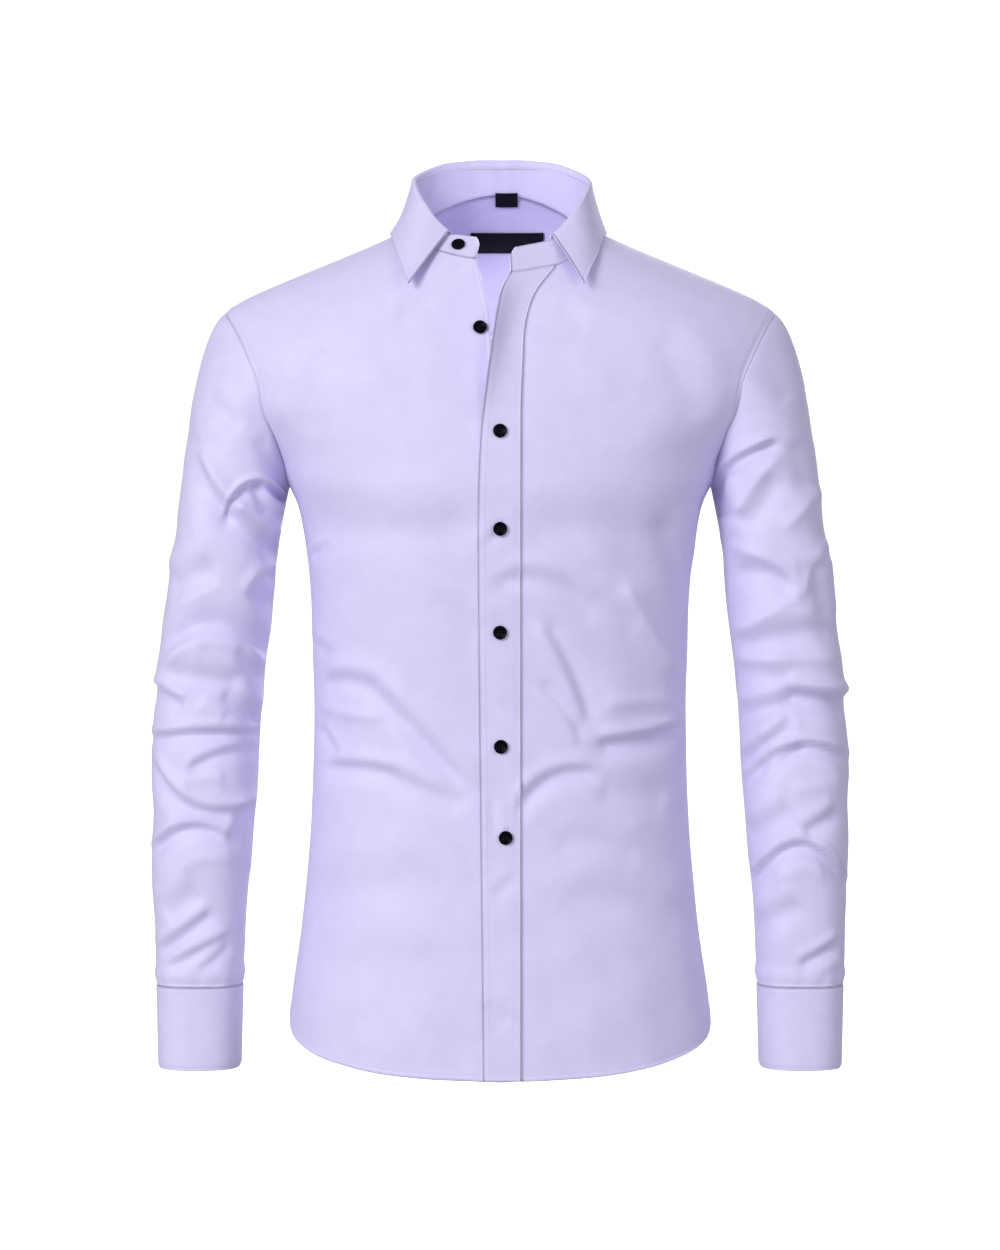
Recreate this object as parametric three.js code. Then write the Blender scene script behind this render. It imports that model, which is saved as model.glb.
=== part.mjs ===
// Long sleeve dress shirt, filled out as if worn, in millimetres with +Z up.
// The front faces -Y and the wearer's left arm is on +X. The origin is the
// point midway between the two neck points, where the collar meets the
// shoulders. Every cut piece is its own wall of cloth.

import * as THREE from 'three';

// Cloth and sewing
const WALL = 1.2;
const SEAM_GAP = 0.3;
const BAND_WALL = 1.5;
const CUFF_WALL = 2.2;
const LABEL_WALL = 1.0;
const LABEL_CLEAR = 0.8;
const PLACKET_WALL = 1.9;
const PLACKET_PROUD = 0.6;
const FRONT_LAP_TUCK = 2.4;
const LAP_TUCK_X = -62;
const LAP_TUCK_RUN = 38;

// Body form: half width and depth of the level ring at each height
const SIDE_Y = 5;
const RING_POWER = 2.4;
const BODY_RINGS = [
  { z: -705, half: 178, front: 112, back: 104 },
  { z: -648, half: 176, front: 110, back: 103 },
  { z: -577, half: 166.5, front: 106, back: 99 },
  { z: -497, half: 159, front: 103, back: 94 },
  { z: -406, half: 156, front: 103, back: 90 },
  { z: -345, half: 157.5, front: 107, back: 93 },
  { z: -285, half: 160, front: 113, back: 99 },
  { z: -244, half: 165.5, front: 117, back: 103 },
  { z: -224, half: 170, front: 119, back: 105 },
  { z: -209, half: 177, front: 120, back: 106 },
  { z: -187, half: 187, front: 119, back: 107 },
  { z: -169, half: 201, front: 117, back: 107 },
  { z: -149, half: 219, front: 114, back: 106 },
  { z: -123, half: 231, front: 110, back: 104 },
  { z: -100, half: 236, front: 104, back: 101 },
  { z: -60, half: 240, front: 91, back: 94 },
  { z: -25, half: 240, front: 81, back: 87 },
  { z: 0, half: 240, front: 76, back: 82 },
  { z: 60, half: 240, front: 66, back: 76 },
];

// Top of the shoulders, carried on across the neck hole for each side
const SHOULDER_ROUND = 75;
const SHOULDER_ARC = 125;
const SHOULDER_TOP = [
  { x: 0, front: 38, back: 68 },
  { x: 25, front: 28, back: 63 },
  { x: 55, front: 15, back: 39 },
  { x: 80, front: 5, back: 5 },
  { x: 100, front: -4, back: -4 },
  { x: 120, front: -12.6, back: -12.6 },
  { x: 169, front: -32.8, back: -32.8 },
  { x: 193, front: -42.8, back: -42.8 },
  { x: 217, front: -54, back: -54 },
  { x: 231, front: -64, back: -64 },
  { x: 245, front: -78, back: -78 },
];

// Armhole from the armpit to the shoulder point, as turn round the ring
const ARMHOLE = [
  { z: -209, turn: 1 },
  { z: -207, turn: 0.93 },
  { z: -201, turn: 0.86 },
  { z: -187, turn: 0.79 },
  { z: -169, turn: 0.7 },
  { z: -149, turn: 0.645 },
  { z: -123, turn: 0.62 },
  { z: -100, turn: 0.65 },
  { z: -80, turn: 0.7 },
  { z: -64, turn: 0.77 },
];

// Neck seam: half width, rise at the back, and how far each end drops
const NECK_HALF = 80;
const NECK_RISE = 40;
const NECK_SIDE_Z = 4;
const NECK_DROP_RIGHT = 30;
const NECK_DROP_LEFT = 45;

// Front edges from hem to neck, and the inner line of the left placket
const RIGHT_EDGE = [
  { z: -696, x: 13 },
  { z: -300, x: 13 },
  { z: -190, x: 13 },
  { z: -160, x: 8 },
  { z: -135, x: 0 },
  { z: -115, x: -5 },
  { z: -101, x: -7.3 },
  { z: -78, x: -8.5 },
  { z: -61, x: -10.7 },
  { z: -39, x: -16.4 },
  { z: -23, x: -20 },
];
const LEFT_EDGE = [
  { z: -696, x: -13.5, lift: 0 },
  { z: -430, x: -16.5, lift: 0 },
  { z: -169, x: -17.5, lift: 0 },
  { z: -140, x: -13, lift: 6 },
  { z: -111, x: -8.2, lift: 12 },
  { z: -82, x: -4, lift: 15 },
  { z: -62, x: -0.8, lift: 14 },
  { z: -50, x: 2.2, lift: 11 },
  { z: -37.5, x: 9, lift: 5 },
];
const PLACKET_LINE = [
  { z: -696, x: 16.6 },
  { z: -430, x: 16.6 },
  { z: -169, x: 16.6 },
  { z: -140, x: 17 },
  { z: -111, x: 18.3 },
  { z: -86, x: 19.5 },
  { z: -70, x: 22.5 },
  { z: -53, x: 29 },
  { z: -30.4, x: 46 },
];

// Hem from the side seam to the middle, by turn round the ring
const HEM = [
  { turn: 0, front: -697, back: -702 },
  { turn: 0.3, front: -693, back: -699 },
  { turn: 0.5, front: -685, back: -692 },
  { turn: 0.68, front: -675, back: -680 },
  { turn: 0.84, front: -664, back: -667 },
  { turn: 1, front: -649, back: -649 },
];
const YOKE_SEAM_MIDDLE = -78;
const YOKE_SEAM_SIDE = -100;

// Sleeve rings: outer and inner side seen from the front, and half depth
const SLEEVE_RINGS = [
  { z: -224, outer: 269.6, inner: 179.8, depth: 64, y: 4 },
  { z: -244, outer: 271.5, inner: 184.6, depth: 64, y: 4 },
  { z: -285, outer: 277.5, inner: 189, depth: 62, y: 3 },
  { z: -325, outer: 282.5, inner: 192.4, depth: 60, y: 2 },
  { z: -365, outer: 287.6, inner: 197.8, depth: 58, y: 1 },
  { z: -406, outer: 290.2, inner: 201, depth: 57, y: 0 },
  { z: -436, outer: 292.5, inner: 202.4, depth: 56, y: -1 },
  { z: -476, outer: 290.6, inner: 205, depth: 54, y: -4 },
  { z: -517, outer: 291.4, inner: 207.8, depth: 51, y: -7 },
  { z: -557, outer: 289.4, inner: 212.2, depth: 47, y: -10 },
  { z: -597, outer: 287.6, inner: 214, depth: 43.5, y: -12 },
  { z: -626, outer: 286.4, inner: 215.2, depth: 41, y: -13 },
  { z: -695, outer: 284.6, inner: 216.8, depth: 40.5, y: -15 },
];
const SLEEVE_POWER = 2.15;
const CAP_END = -240;
const SLEEVE_END = -625;
const CUFF_END = -694;
const CUFF_PROUD = 0.6;
const CUFF_OPENING_TURN = 292;
const CUFF_LAP_TURN = 34;
const CUFF_TUCK = 2.8;
const CUFF_TUCK_TURN = 318;
const CUFF_TUCK_RUN = 42;
const SLEEVE_SLIT_TOP = -500;

// Collar band: height of the rise and how far it leans towards the neck,
// by turn from the middle of the back, the right side being negative
const BAND = [
  { turn: -166, rise: 18, lean: 15 },
  { turn: -147, rise: 15, lean: 13 },
  { turn: -141.5, rise: 12.5, lean: 12 },
  { turn: -130, rise: 18.5, lean: 10 },
  { turn: -120, rise: 25.5, lean: 9.5 },
  { turn: -105, rise: 33, lean: 9 },
  { turn: -90, rise: 38, lean: 8.5 },
  { turn: -70, rise: 41, lean: 5 },
  { turn: -45, rise: 37, lean: 5 },
  { turn: -22, rise: 27.8, lean: 5 },
  { turn: 0, rise: 23, lean: 5 },
  { turn: 22, rise: 27.8, lean: 5 },
  { turn: 45, rise: 37, lean: 5 },
  { turn: 70, rise: 41, lean: 3.5 },
  { turn: 90, rise: 38, lean: 5.5 },
  { turn: 105, rise: 34, lean: 7 },
  { turn: 120, rise: 28.5, lean: 8 },
  { turn: 134, rise: 22, lean: 8.5 },
  { turn: 147, rise: 19.5, lean: 9 },
  { turn: 174, rise: 19, lean: 9 },
];
const BAND_END_ROUND = 9;
const BAND_END_START = 4;
const NECK_MIDDLE_Y = -8;

// Collar fall: its outer edge, by turn from the middle of the back
const FALL_EDGE = [
  { turn: -141.5, x: -75, y: -90, z: -47 },
  { turn: -131, x: -79.5, y: -76, z: -34 },
  { turn: -118, x: -85, y: -56, z: -19 },
  { turn: -104, x: -90, y: -28, z: -4 },
  { turn: -90, x: -92.5, y: 2, z: 3.5 },
  { turn: -70, x: -89, y: 34, z: 5 },
  { turn: -45, x: -71, y: 61, z: 13 },
  { turn: -22, x: -39, y: 76, z: 24 },
  { turn: 0, x: 0, y: 81, z: 30 },
  { turn: 22, x: 39, y: 76, z: 24 },
  { turn: 45, x: 71, y: 61, z: 13 },
  { turn: 70, x: 88, y: 34, z: 5 },
  { turn: 90, x: 90, y: 2, z: 4 },
  { turn: 104, x: 86.5, y: -28, z: -4 },
  { turn: 118, x: 81, y: -56, z: -19 },
  { turn: 132, x: 74, y: -77, z: -34 },
  { turn: 143.5, x: 69, y: -90, z: -47 },
];
const FALL_START = -141.5;
const FALL_STOP = 143.5;
const FALL_COLUMNS = 28;
const FOLD_RADIUS = 2.4;
const FOLD_OUT = 1.2;
const FOLD_UP = 2.6;
const FALL_BEND_RISE = 3;
const FALL_SWELL = [
  { turn: -142, swell: -1 },
  { turn: -118, swell: -5 },
  { turn: -90, swell: -8 },
  { turn: -68, swell: -2 },
  { turn: -40, swell: 3 },
  { turn: 0, swell: 3 },
  { turn: 40, swell: 3 },
  { turn: 68, swell: 0 },
  { turn: 90, swell: -4 },
  { turn: 118, swell: -2 },
  { turn: 144, swell: 0 },
];

// Buttons: place in the front view; the two upper ones are undone
const BUTTON_RADIUS = 5.7;
const BUTTON_DEPTH = 2.4;
const BUTTON_CLEAR = 0.25;
const BUTTON_SIDES = 12;
const PLACKET_BUTTONS = [
  { x: 0, z: -169 },
  { x: 0, z: -248 },
  { x: 0, z: -332 },
  { x: 0.8, z: -425 },
  { x: 4.5, z: -499 },
];
const OPEN_BUTTON = { x: -16.3, z: -83.7 };
const BAND_BUTTON_TURN = -151;

// Labels inside the back neck, both blank
const NECK_LABEL = { x: 6, width: 62, top: 13.5, height: 17.5 };
const SIZE_LABEL = { x: 6, width: 18, top: 40, height: 12 };

// Crown of the sleeve: how far it leaves the armhole outward and upward
const CROWN = { out: 0.12, outAtTop: 0.75, riseAtTop: 0.42, pull: 0.5, reach: 4 };

// Shape of a fold: where it starts to end, how softly, and its crest
const FOLD_END = 0.7;
const FOLD_END_SOFT = 0.06;
const FOLD_CREST = 0.5;
const FOLD_CREST_AWAY = 1.7;
const FOLD_SIDEWAYS = 0.35;
const FOLD_FADE = 40;
const SLEEVE_FOLD = { growth: 1.6, least: 0.15, rows: 5, above: 30, backDrop: 11 };

// Largest folds as seen from the front: a line with a bow, its depth and
// its spread; a negative depth is a ridge
const FRONT_FOLDS = [
  { x1: -160, z1: -243, x2: -20, z2: -247, bow: -4, depth: 2.6, spread: 20 },
  { x1: 20, z1: -247, x2: 158, z2: -243, bow: -4, depth: 2.2, spread: 20 },
  { x1: -146, z1: -372, x2: -28, z2: -462, bow: 25, depth: 3.4, spread: 13 },
  { x1: -145, z1: -444, x2: -62, z2: -464, bow: 6, depth: 2.2, spread: 13 },
  { x1: 24, z1: -288, x2: 78, z2: -322, bow: 10, depth: 2, spread: 13 },
  { x1: 43, z1: -338, x2: 76, z2: -403, bow: 2, depth: 2.4, spread: 13 },
  { x1: 100, z1: -292, x2: 150, z2: -363, bow: 0, depth: -2.4, spread: 16 },
  { x1: 80, z1: -421, x2: 152, z2: -411, bow: -7, depth: 4, spread: 13 },
  { x1: 18, z1: -479, x2: 84, z2: -448, bow: 14, depth: 2.6, spread: 13 },
];
const BACK_FOLDS = [
  { x1: -150, z1: -365, x2: -30, z2: -420, bow: 14, depth: 3, spread: 15 },
  { x1: 150, z1: -372, x2: 26, z2: -428, bow: -14, depth: 3, spread: 15 },
  { x1: -60, z1: -455, x2: 70, z2: -447, bow: -10, depth: 2.4, spread: 15 },
  { x1: -128, z1: -190, x2: -60, z2: -300, bow: -8, depth: 2.4, spread: 17 },
  { x1: 128, z1: -190, x2: 64, z2: -296, bow: 8, depth: 2.4, spread: 17 },
];
const RIGHT_SLEEVE_FOLDS = [
  { x1: -226, z1: -232, x2: -178, z2: -224, bow: 20, depth: 3.4, spread: 12 },
  { x1: -256, z1: -190, x2: -198, z2: -262, bow: -6, depth: 3.6, spread: 14 },
  { x1: -277, z1: -338, x2: -197, z2: -346, bow: 16, depth: 4, spread: 16 },
  { x1: -290, z1: -417, x2: -198, z2: -415, bow: 3, depth: 4.5, spread: 13 },
  { x1: -288, z1: -439, x2: -204, z2: -472, bow: -20, depth: 3.4, spread: 13 },
  { x1: -287, z1: -512, x2: -228, z2: -498, bow: 9, depth: 4, spread: 13 },
];
const LEFT_SLEEVE_FOLDS = [
  { x1: 178, z1: -206, x2: 228, z2: -175, bow: 8, depth: 3.4, spread: 12 },
  { x1: 200, z1: -213, x2: 240, z2: -252, bow: 4, depth: 3, spread: 15 },
  { x1: 194, z1: -352, x2: 250, z2: -300, bow: 3, depth: 4, spread: 15 },
  { x1: 238, z1: -380, x2: 287, z2: -393, bow: 2, depth: 5, spread: 15 },
  { x1: 206, z1: -452, x2: 288, z2: -438, bow: 14, depth: 4.5, spread: 13 },
  { x1: 207, z1: -540, x2: 286, z2: -538, bow: 30, depth: 4.5, spread: 13 },
];
const SLEEVE_BACK_FOLDS = [
  { x1: 186, z1: -262, x2: 262, z2: -300, bow: 8, depth: 3.4, spread: 15 },
  { x1: 284, z1: -352, x2: 204, z2: -392, bow: -8, depth: 4, spread: 15 },
  { x1: 286, z1: -430, x2: 208, z2: -446, bow: -10, depth: 4, spread: 14 },
  { x1: 284, z1: -505, x2: 212, z2: -528, bow: -12, depth: 3.4, spread: 14 },
];

// Grid counts
const SIDE_ROWS = 20;
const ARMHOLE_FRONT_ROWS = 12;
const ARMHOLE_YOKE_ROWS = 4;
const NECK_ROWS = 6;
const SHOULDER_COLUMNS = 9;
const BACK_NECK_COLUMNS = 10;
const PLACKET_COLUMNS = 2;
const PLACKET_TOP_ROWS = 5;
const CAP_ROWS = 8;
const ARM_ROWS = 16;
const BAND_ROWS = 3;
const CUFF_COLUMNS = 26;
const CUFF_ROWS = 3;
const LABEL_ROWS = 3;
const LABEL_COLUMNS = 6;
const FALL_ROWS = 6;
const ROLL_STEPS = 4;

const RIGHT = -1;
const LEFT = 1;

// Small helpers

function radians(degrees) {
  return (degrees * Math.PI) / 180;
}

function clamp(value, low, high) {
  return Math.min(high, Math.max(low, value));
}

// Smooth curve through one column of a table
function column(rows, key, name) {
  const sorted = [...rows].sort((a, b) => a[key] - b[key]);
  const at = sorted.map((row) => row[key]);
  const values = sorted.map((row) => row[name]);
  const last = at.length - 1;
  const slopes = values.map((_, i) => {
    const low = Math.max(0, i - 1);
    const high = Math.min(last, i + 1);
    return (values[high] - values[low]) / (at[high] - at[low]);
  });
  return (place) => {
    const where = clamp(place, at[0], at[last]);
    let i = 0;
    while (i < last - 1 && where > at[i + 1]) i += 1;
    const span = at[i + 1] - at[i];
    const t = (where - at[i]) / span;
    const rise = t * t * (3 - 2 * t);
    const leave = t * (1 - t) * (1 - t) * span;
    const arrive = t * t * (t - 1) * span;
    return values[i] * (1 - rise) + values[i + 1] * rise + slopes[i] * leave + slopes[i + 1] * arrive;
  };
}

// Even places from one number to another, ends included
function steps(from, to, count) {
  return Array.from({ length: count + 1 }, (_, i) => from + ((to - from) * i) / count);
}

// Body form

const halfWidth = column(BODY_RINGS, 'z', 'half');
const depthOf = {
  front: column(BODY_RINGS, 'z', 'front'),
  back: column(BODY_RINGS, 'z', 'back'),
};
const outerTop = column(SHOULDER_TOP, 'x', 'front');
const backNeckTop = column(SHOULDER_TOP.filter(({ x }) => x <= NECK_HALF), 'x', 'back');
const topOf = {
  front: outerTop,
  back: (x) => (x < NECK_HALF ? backNeckTop(x) : outerTop(x)),
};

// Share of the half width and of the depth at a turn, 0 middle to 1 side
function ringShare(turn, power = RING_POWER) {
  const across = Math.sin((turn * Math.PI) / 2);
  const deep = Math.cos((turn * Math.PI) / 2);
  const size = (Math.abs(across) ** power + Math.abs(deep) ** power) ** (1 / power);
  return { across: across / size, deep: deep / size };
}

function turnAt(x, z) {
  const share = clamp(Math.abs(x) / halfWidth(z), 0, 1);
  const deep = (1 - share ** RING_POWER) ** (1 / RING_POWER);
  return (Math.sign(x) * Math.atan2(share, deep) * 2) / Math.PI;
}

// Length down the cloth from the shoulder top to a height
function clothDown(turn, z, side) {
  const x = Math.abs(halfWidth(z) * ringShare(turn).across);
  const drop = topOf[side](x) - z;
  if (drop >= SHOULDER_ROUND) return SHOULDER_ARC + drop - SHOULDER_ROUND;
  return (SHOULDER_ARC * Math.acos(clamp(1 - drop / SHOULDER_ROUND, -1, 1)) * 2) / Math.PI;
}

// Point of the body form at a turn and a length down the cloth
function formPoint(turn, down, side) {
  const round = clamp(down / SHOULDER_ARC, 0, 1) * (Math.PI / 2);
  const drop = SHOULDER_ROUND * (1 - Math.cos(round)) + Math.max(0, down - SHOULDER_ARC);
  const share = ringShare(turn);
  let z = -drop;
  for (let pass = 0; pass < 12; pass += 1) {
    z = topOf[side](Math.abs(halfWidth(z) * share.across)) - drop;
  }
  const depth = depthOf[side](z) * share.deep * Math.sin(round);
  return new THREE.Vector3(halfWidth(z) * share.across, SIDE_Y + (side === 'back' ? depth : -depth), z);
}

// Flat place on a side of the form: [turn, length down the cloth]
function flatAt(x, z, side) {
  const turn = turnAt(x, z);
  return [turn, clothDown(turn, z, side)];
}

// Splits a dense line of flat places into even steps along the cloth
function evenly(places, side, count) {
  const points = places.map(([turn, down]) => formPoint(turn, down, side));
  const lengths = [0];
  for (let i = 1; i < points.length; i += 1) {
    lengths.push(lengths[i - 1] + points[i].distanceTo(points[i - 1]));
  }
  return steps(0, lengths[lengths.length - 1], count).map((target) => {
    let i = 0;
    while (i < lengths.length - 2 && lengths[i + 1] < target) i += 1;
    const t = clamp((target - lengths[i]) / (lengths[i + 1] - lengths[i]), 0, 1);
    return [0, 1].map((k) => places[i][k] * (1 - t) + places[i + 1][k] * t);
  });
}

// Outlines of the panels, as flat places

const armholeTurn = column(ARMHOLE.map((row, i) => ({ ...row, i })), 'i', 'turn');
const armholeZ = column(ARMHOLE.map((row, i) => ({ ...row, i })), 'i', 'z');

function armhole(hand, side, from, to, count) {
  const line = steps(from, to, 120).map((i) => {
    const turn = armholeTurn(i);
    return [hand * turn, clothDown(turn, armholeZ(i), side)];
  });
  if (to === ARMHOLE.length - 1) line[line.length - 1][1] = 0;
  return evenly(line, side, count);
}

function armholeIndexAt(z) {
  return steps(0, ARMHOLE.length - 1, 900).find((i) => armholeZ(i) >= z);
}

function sideSeam(hand, side) {
  const hemDown = clothDown(1, HEM[HEM.length - 1][side], side);
  const pitDown = clothDown(1, ARMHOLE[0].z, side);
  return steps(hemDown, pitDown, SIDE_ROWS).map((down) => [hand, down]);
}

function hemLine(turns, side) {
  const hem = column(HEM, 'turn', side);
  return turns.map((turn) => [turn, clothDown(turn, hem(Math.abs(turn)), side)]);
}

function shoulderSeam(hand, side) {
  const start = hand * armholeTurn(ARMHOLE.length - 1);
  const stop = turnAt(hand * NECK_HALF, NECK_SIDE_Z);
  return evenly(steps(start, stop, 60).map((turn) => [turn, 0]), side, SHOULDER_COLUMNS);
}

// Neck seam by turn from the middle of the back, in degrees
function neckSeam(degrees) {
  const angle = radians(Math.abs(degrees));
  const hand = Math.sign(degrees) || LEFT;
  const x = hand * NECK_HALF * Math.sin(angle);
  if (Math.cos(angle) >= 0) {
    const place = flatAt(x, NECK_SIDE_Z + NECK_RISE * Math.cos(angle) ** 2, 'back');
    return { place, side: 'back' };
  }
  const drop = hand === RIGHT ? NECK_DROP_RIGHT : NECK_DROP_LEFT;
  const down = -Math.cos(angle);
  const place = flatAt(x, NECK_SIDE_Z - (drop * (down + down * down)) / 2, 'front');
  return { place, side: 'front' };
}

function frontNeck(hand, count, stopTurn) {
  const line = steps(hand * 90, stopTurn, 80).map((degrees) => neckSeam(degrees).place);
  line[0] = [turnAt(hand * NECK_HALF, NECK_SIDE_Z), 0];
  return evenly(line, 'front', count);
}

function backNeck() {
  const line = steps(-90, 90, 160).map((degrees) => neckSeam(degrees).place);
  line[0] = [turnAt(-NECK_HALF, NECK_SIDE_Z), 0];
  line[line.length - 1] = [turnAt(NECK_HALF, NECK_SIDE_Z), 0];
  return evenly(line, 'back', BACK_NECK_COLUMNS);
}

// Grids

// Fills the inside of four flat outlines
function fillOutline(bottom, top, start, end) {
  const rows = start.length - 1;
  const columns = bottom.length - 1;
  return start.map((_, j) => bottom.map((__, i) => {
    const u = i / columns;
    const v = j / rows;
    return [0, 1].map((k) => {
      const across = (1 - v) * bottom[i][k] + v * top[i][k];
      const along = (1 - u) * start[j][k] + u * end[j][k];
      const low = (1 - u) * bottom[0][k] + u * bottom[columns][k];
      const high = (1 - u) * top[0][k] + u * top[columns][k];
      return across + along - (1 - v) * low - v * high;
    });
  }));
}

// Push of the folds at a place in the front view
function foldPush(folds, x, z) {
  let push = 0;
  for (const fold of folds) {
    const runX = fold.x2 - fold.x1;
    const runZ = fold.z2 - fold.z1;
    const length = Math.hypot(runX, runZ);
    const t = ((x - fold.x1) * runX + (z - fold.z1) * runZ) / length ** 2;
    const hand = runX < 0 ? -1 : 1;
    const away = (hand * ((z - fold.z1) * runX - (x - fold.x1) * runZ)) / length - fold.bow * 4 * t * (1 - t);
    const ends = Math.exp(-(Math.max(0, Math.abs(t - 0.5) * 2 - FOLD_END) ** 2) / FOLD_END_SOFT);
    const trough = Math.exp(-((away / fold.spread) ** 2));
    const crest = Math.exp(-((away / fold.spread - FOLD_CREST_AWAY) ** 2));
    push += fold.depth * ends * (FOLD_CREST * crest - trough);
  }
  return push;
}

function pushed(point, side, folds) {
  const out = new THREE.Vector3(point.x * FOLD_SIDEWAYS, point.y - SIDE_Y, 0).normalize();
  const fade = clamp(Math.abs(point.y - SIDE_Y) / FOLD_FADE, 0, 1);
  return point.clone().addScaledVector(out, foldPush(folds, point.x, point.z) * fade);
}

function frontPanel(hand) {
  const edge = hand === RIGHT ? RIGHT_EDGE : PLACKET_LINE;
  const edgeX = column(edge, 'z', 'x');
  const rows = SIDE_ROWS + ARMHOLE_FRONT_ROWS;
  const hemZ = edge[0].z;
  const top = edge[edge.length - 1];
  const neckStop = hand * (180 - (Math.asin(Math.abs(top.x) / NECK_HALF) * 180) / Math.PI);
  const neck = frontNeck(hand, NECK_ROWS, neckStop).reverse();
  const middle = steps(hemZ, top.z, rows - NECK_ROWS).map((z) => flatAt(edgeX(z), z, 'front'));
  const bottom = hemLine(steps(hand, middle[0][0], SHOULDER_COLUMNS), 'front');
  middle[0] = bottom[SHOULDER_COLUMNS];
  const end = [...middle.slice(0, -1), ...neck];
  const start = [...sideSeam(hand, 'front'),
    ...armhole(hand, 'front', 0, ARMHOLE.length - 1, ARMHOLE_FRONT_ROWS).slice(1)];
  return fillOutline(bottom, shoulderSeam(hand, 'front'), start, end)
    .map((row) => row.map(([turn, down]) => formPoint(turn, down, 'front')));
}

// The right front dips under the left one along the middle
function tuckUnder(point) {
  const ramp = clamp((point.x - LAP_TUCK_X) / LAP_TUCK_RUN, 0, 1);
  return point.clone().setY(point.y + FRONT_LAP_TUCK * ramp * ramp * (3 - 2 * ramp));
}

// The band of cloth between the placket line and the free edge
function placketBand(panel) {
  const edgeX = column(LEFT_EDGE, 'z', 'x');
  const lift = column(LEFT_EDGE, 'z', 'lift');
  const topDrop = LEFT_EDGE[LEFT_EDGE.length - 1].z - PLACKET_LINE[PLACKET_LINE.length - 1].z;
  const rows = panel.slice(0, panel.length - NECK_ROWS);
  return rows.map((row, j) => {
    const line = row[row.length - 1];
    const share = clamp((j - rows.length + 1) / PLACKET_TOP_ROWS + 1, 0, 1);
    const edgeZ = line.z + topDrop * share;
    const across = steps(0, 1, PLACKET_COLUMNS).slice(1).map((t) => {
      const z = line.z * (1 - t) + edgeZ * t;
      const [turn, down] = flatAt(line.x * (1 - t) + edgeX(edgeZ) * t, z, 'front');
      const point = formPoint(turn, down, 'front');
      return point.setY(point.y - lift(z) * t * t);
    });
    return [line.clone(), ...across];
  });
}

function backPanel() {
  const split = armholeIndexAt(YOKE_SEAM_SIDE);
  const rows = ARMHOLE_FRONT_ROWS - ARMHOLE_YOKE_ROWS;
  const flank = (hand) => [...sideSeam(hand, 'back'), ...armhole(hand, 'back', 0, split, rows).slice(1)];
  const top = yokeSeam();
  const bottom = hemLine(steps(-1, 1, top.length - 1), 'back');
  return fillOutline(bottom, top, flank(RIGHT), flank(LEFT))
    .map((row) => row.map(([turn, down]) => formPoint(turn, down, 'back')));
}

function yokeSeam() {
  const split = armholeIndexAt(YOKE_SEAM_SIDE);
  const corner = armholeTurn(split);
  const count = 2 * SHOULDER_COLUMNS + BACK_NECK_COLUMNS;
  return steps(-1, 1, count).map((t) => {
    const turn = corner * t;
    const z = YOKE_SEAM_MIDDLE + (YOKE_SEAM_SIDE - YOKE_SEAM_MIDDLE) * t * t;
    return [turn, clothDown(turn, z, 'back')];
  });
}

function yokePanel() {
  const split = armholeIndexAt(YOKE_SEAM_SIDE);
  const flank = (hand) => armhole(hand, 'back', split, ARMHOLE.length - 1, ARMHOLE_YOKE_ROWS);
  const top = [...shoulderSeam(RIGHT, 'back'), ...backNeck().slice(1),
    ...shoulderSeam(LEFT, 'back').reverse().slice(1)];
  return fillOutline(yokeSeam(), top, flank(RIGHT), flank(LEFT))
    .map((row) => row.map(([turn, down]) => formPoint(turn, down, 'back')));
}

// Sleeves

const sleeveOf = Object.fromEntries(['outer', 'inner', 'depth', 'y']
  .map((name) => [name, column(SLEEVE_RINGS, 'z', name)]));

// Point of the sleeve at a height; turn 0 is outside and 90 the front
function sleevePoint(hand, degrees, z, proud = 0) {
  const angle = radians(degrees);
  const power = SLEEVE_POWER;
  const size = (Math.abs(Math.cos(angle)) ** power + Math.abs(Math.sin(angle)) ** power) ** (1 / power);
  const middle = (sleeveOf.outer(z) + sleeveOf.inner(z)) / 2;
  const half = (sleeveOf.outer(z) - sleeveOf.inner(z)) / 2 + proud;
  const x = middle + (half * Math.cos(angle)) / size;
  const y = sleeveOf.y(z) - ((sleeveOf.depth(z) + proud) * Math.sin(angle)) / size;
  return new THREE.Vector3(hand * x, y, z);
}

function armholeRing(hand, front, back, yoke) {
  const top = ARMHOLE_FRONT_ROWS;
  const edge = hand === RIGHT ? 0 : back[0].length - 1;
  const ring = [];
  for (let j = 0; j <= top; j += 1) ring.push(front[SIDE_ROWS + top - j][0]);
  for (let j = 1; j <= top - ARMHOLE_YOKE_ROWS; j += 1) ring.push(back[SIDE_ROWS + j][edge]);
  for (let j = 1; j < ARMHOLE_YOKE_ROWS; j += 1) ring.push(yoke[j][edge]);
  return ring.map((point) => point.clone());
}

// Crown of the sleeve from one armhole point to the first level ring
function crownPoint(hand, from, degrees, t) {
  const to = sleevePoint(hand, degrees, CAP_END);
  const reach = from.distanceTo(to);
  const upper = (1 + Math.cos(radians(degrees))) / 2;
  const outward = hand * (CROWN.out + CROWN.outAtTop * upper);
  const leave = new THREE.Vector3(outward, 0, CROWN.riseAtTop * upper - 1).normalize();
  const arrive = sleevePoint(hand, degrees, CAP_END - CROWN.reach)
    .sub(sleevePoint(hand, degrees, CAP_END + CROWN.reach)).normalize();
  const rise = t * t * (3 - 2 * t);
  return from.clone().multiplyScalar(1 - rise)
    .addScaledVector(to, rise)
    .addScaledVector(leave, t * (1 - t) * (1 - t) * reach * CROWN.pull)
    .addScaledVector(arrive, t * t * (t - 1) * reach);
}

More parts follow.
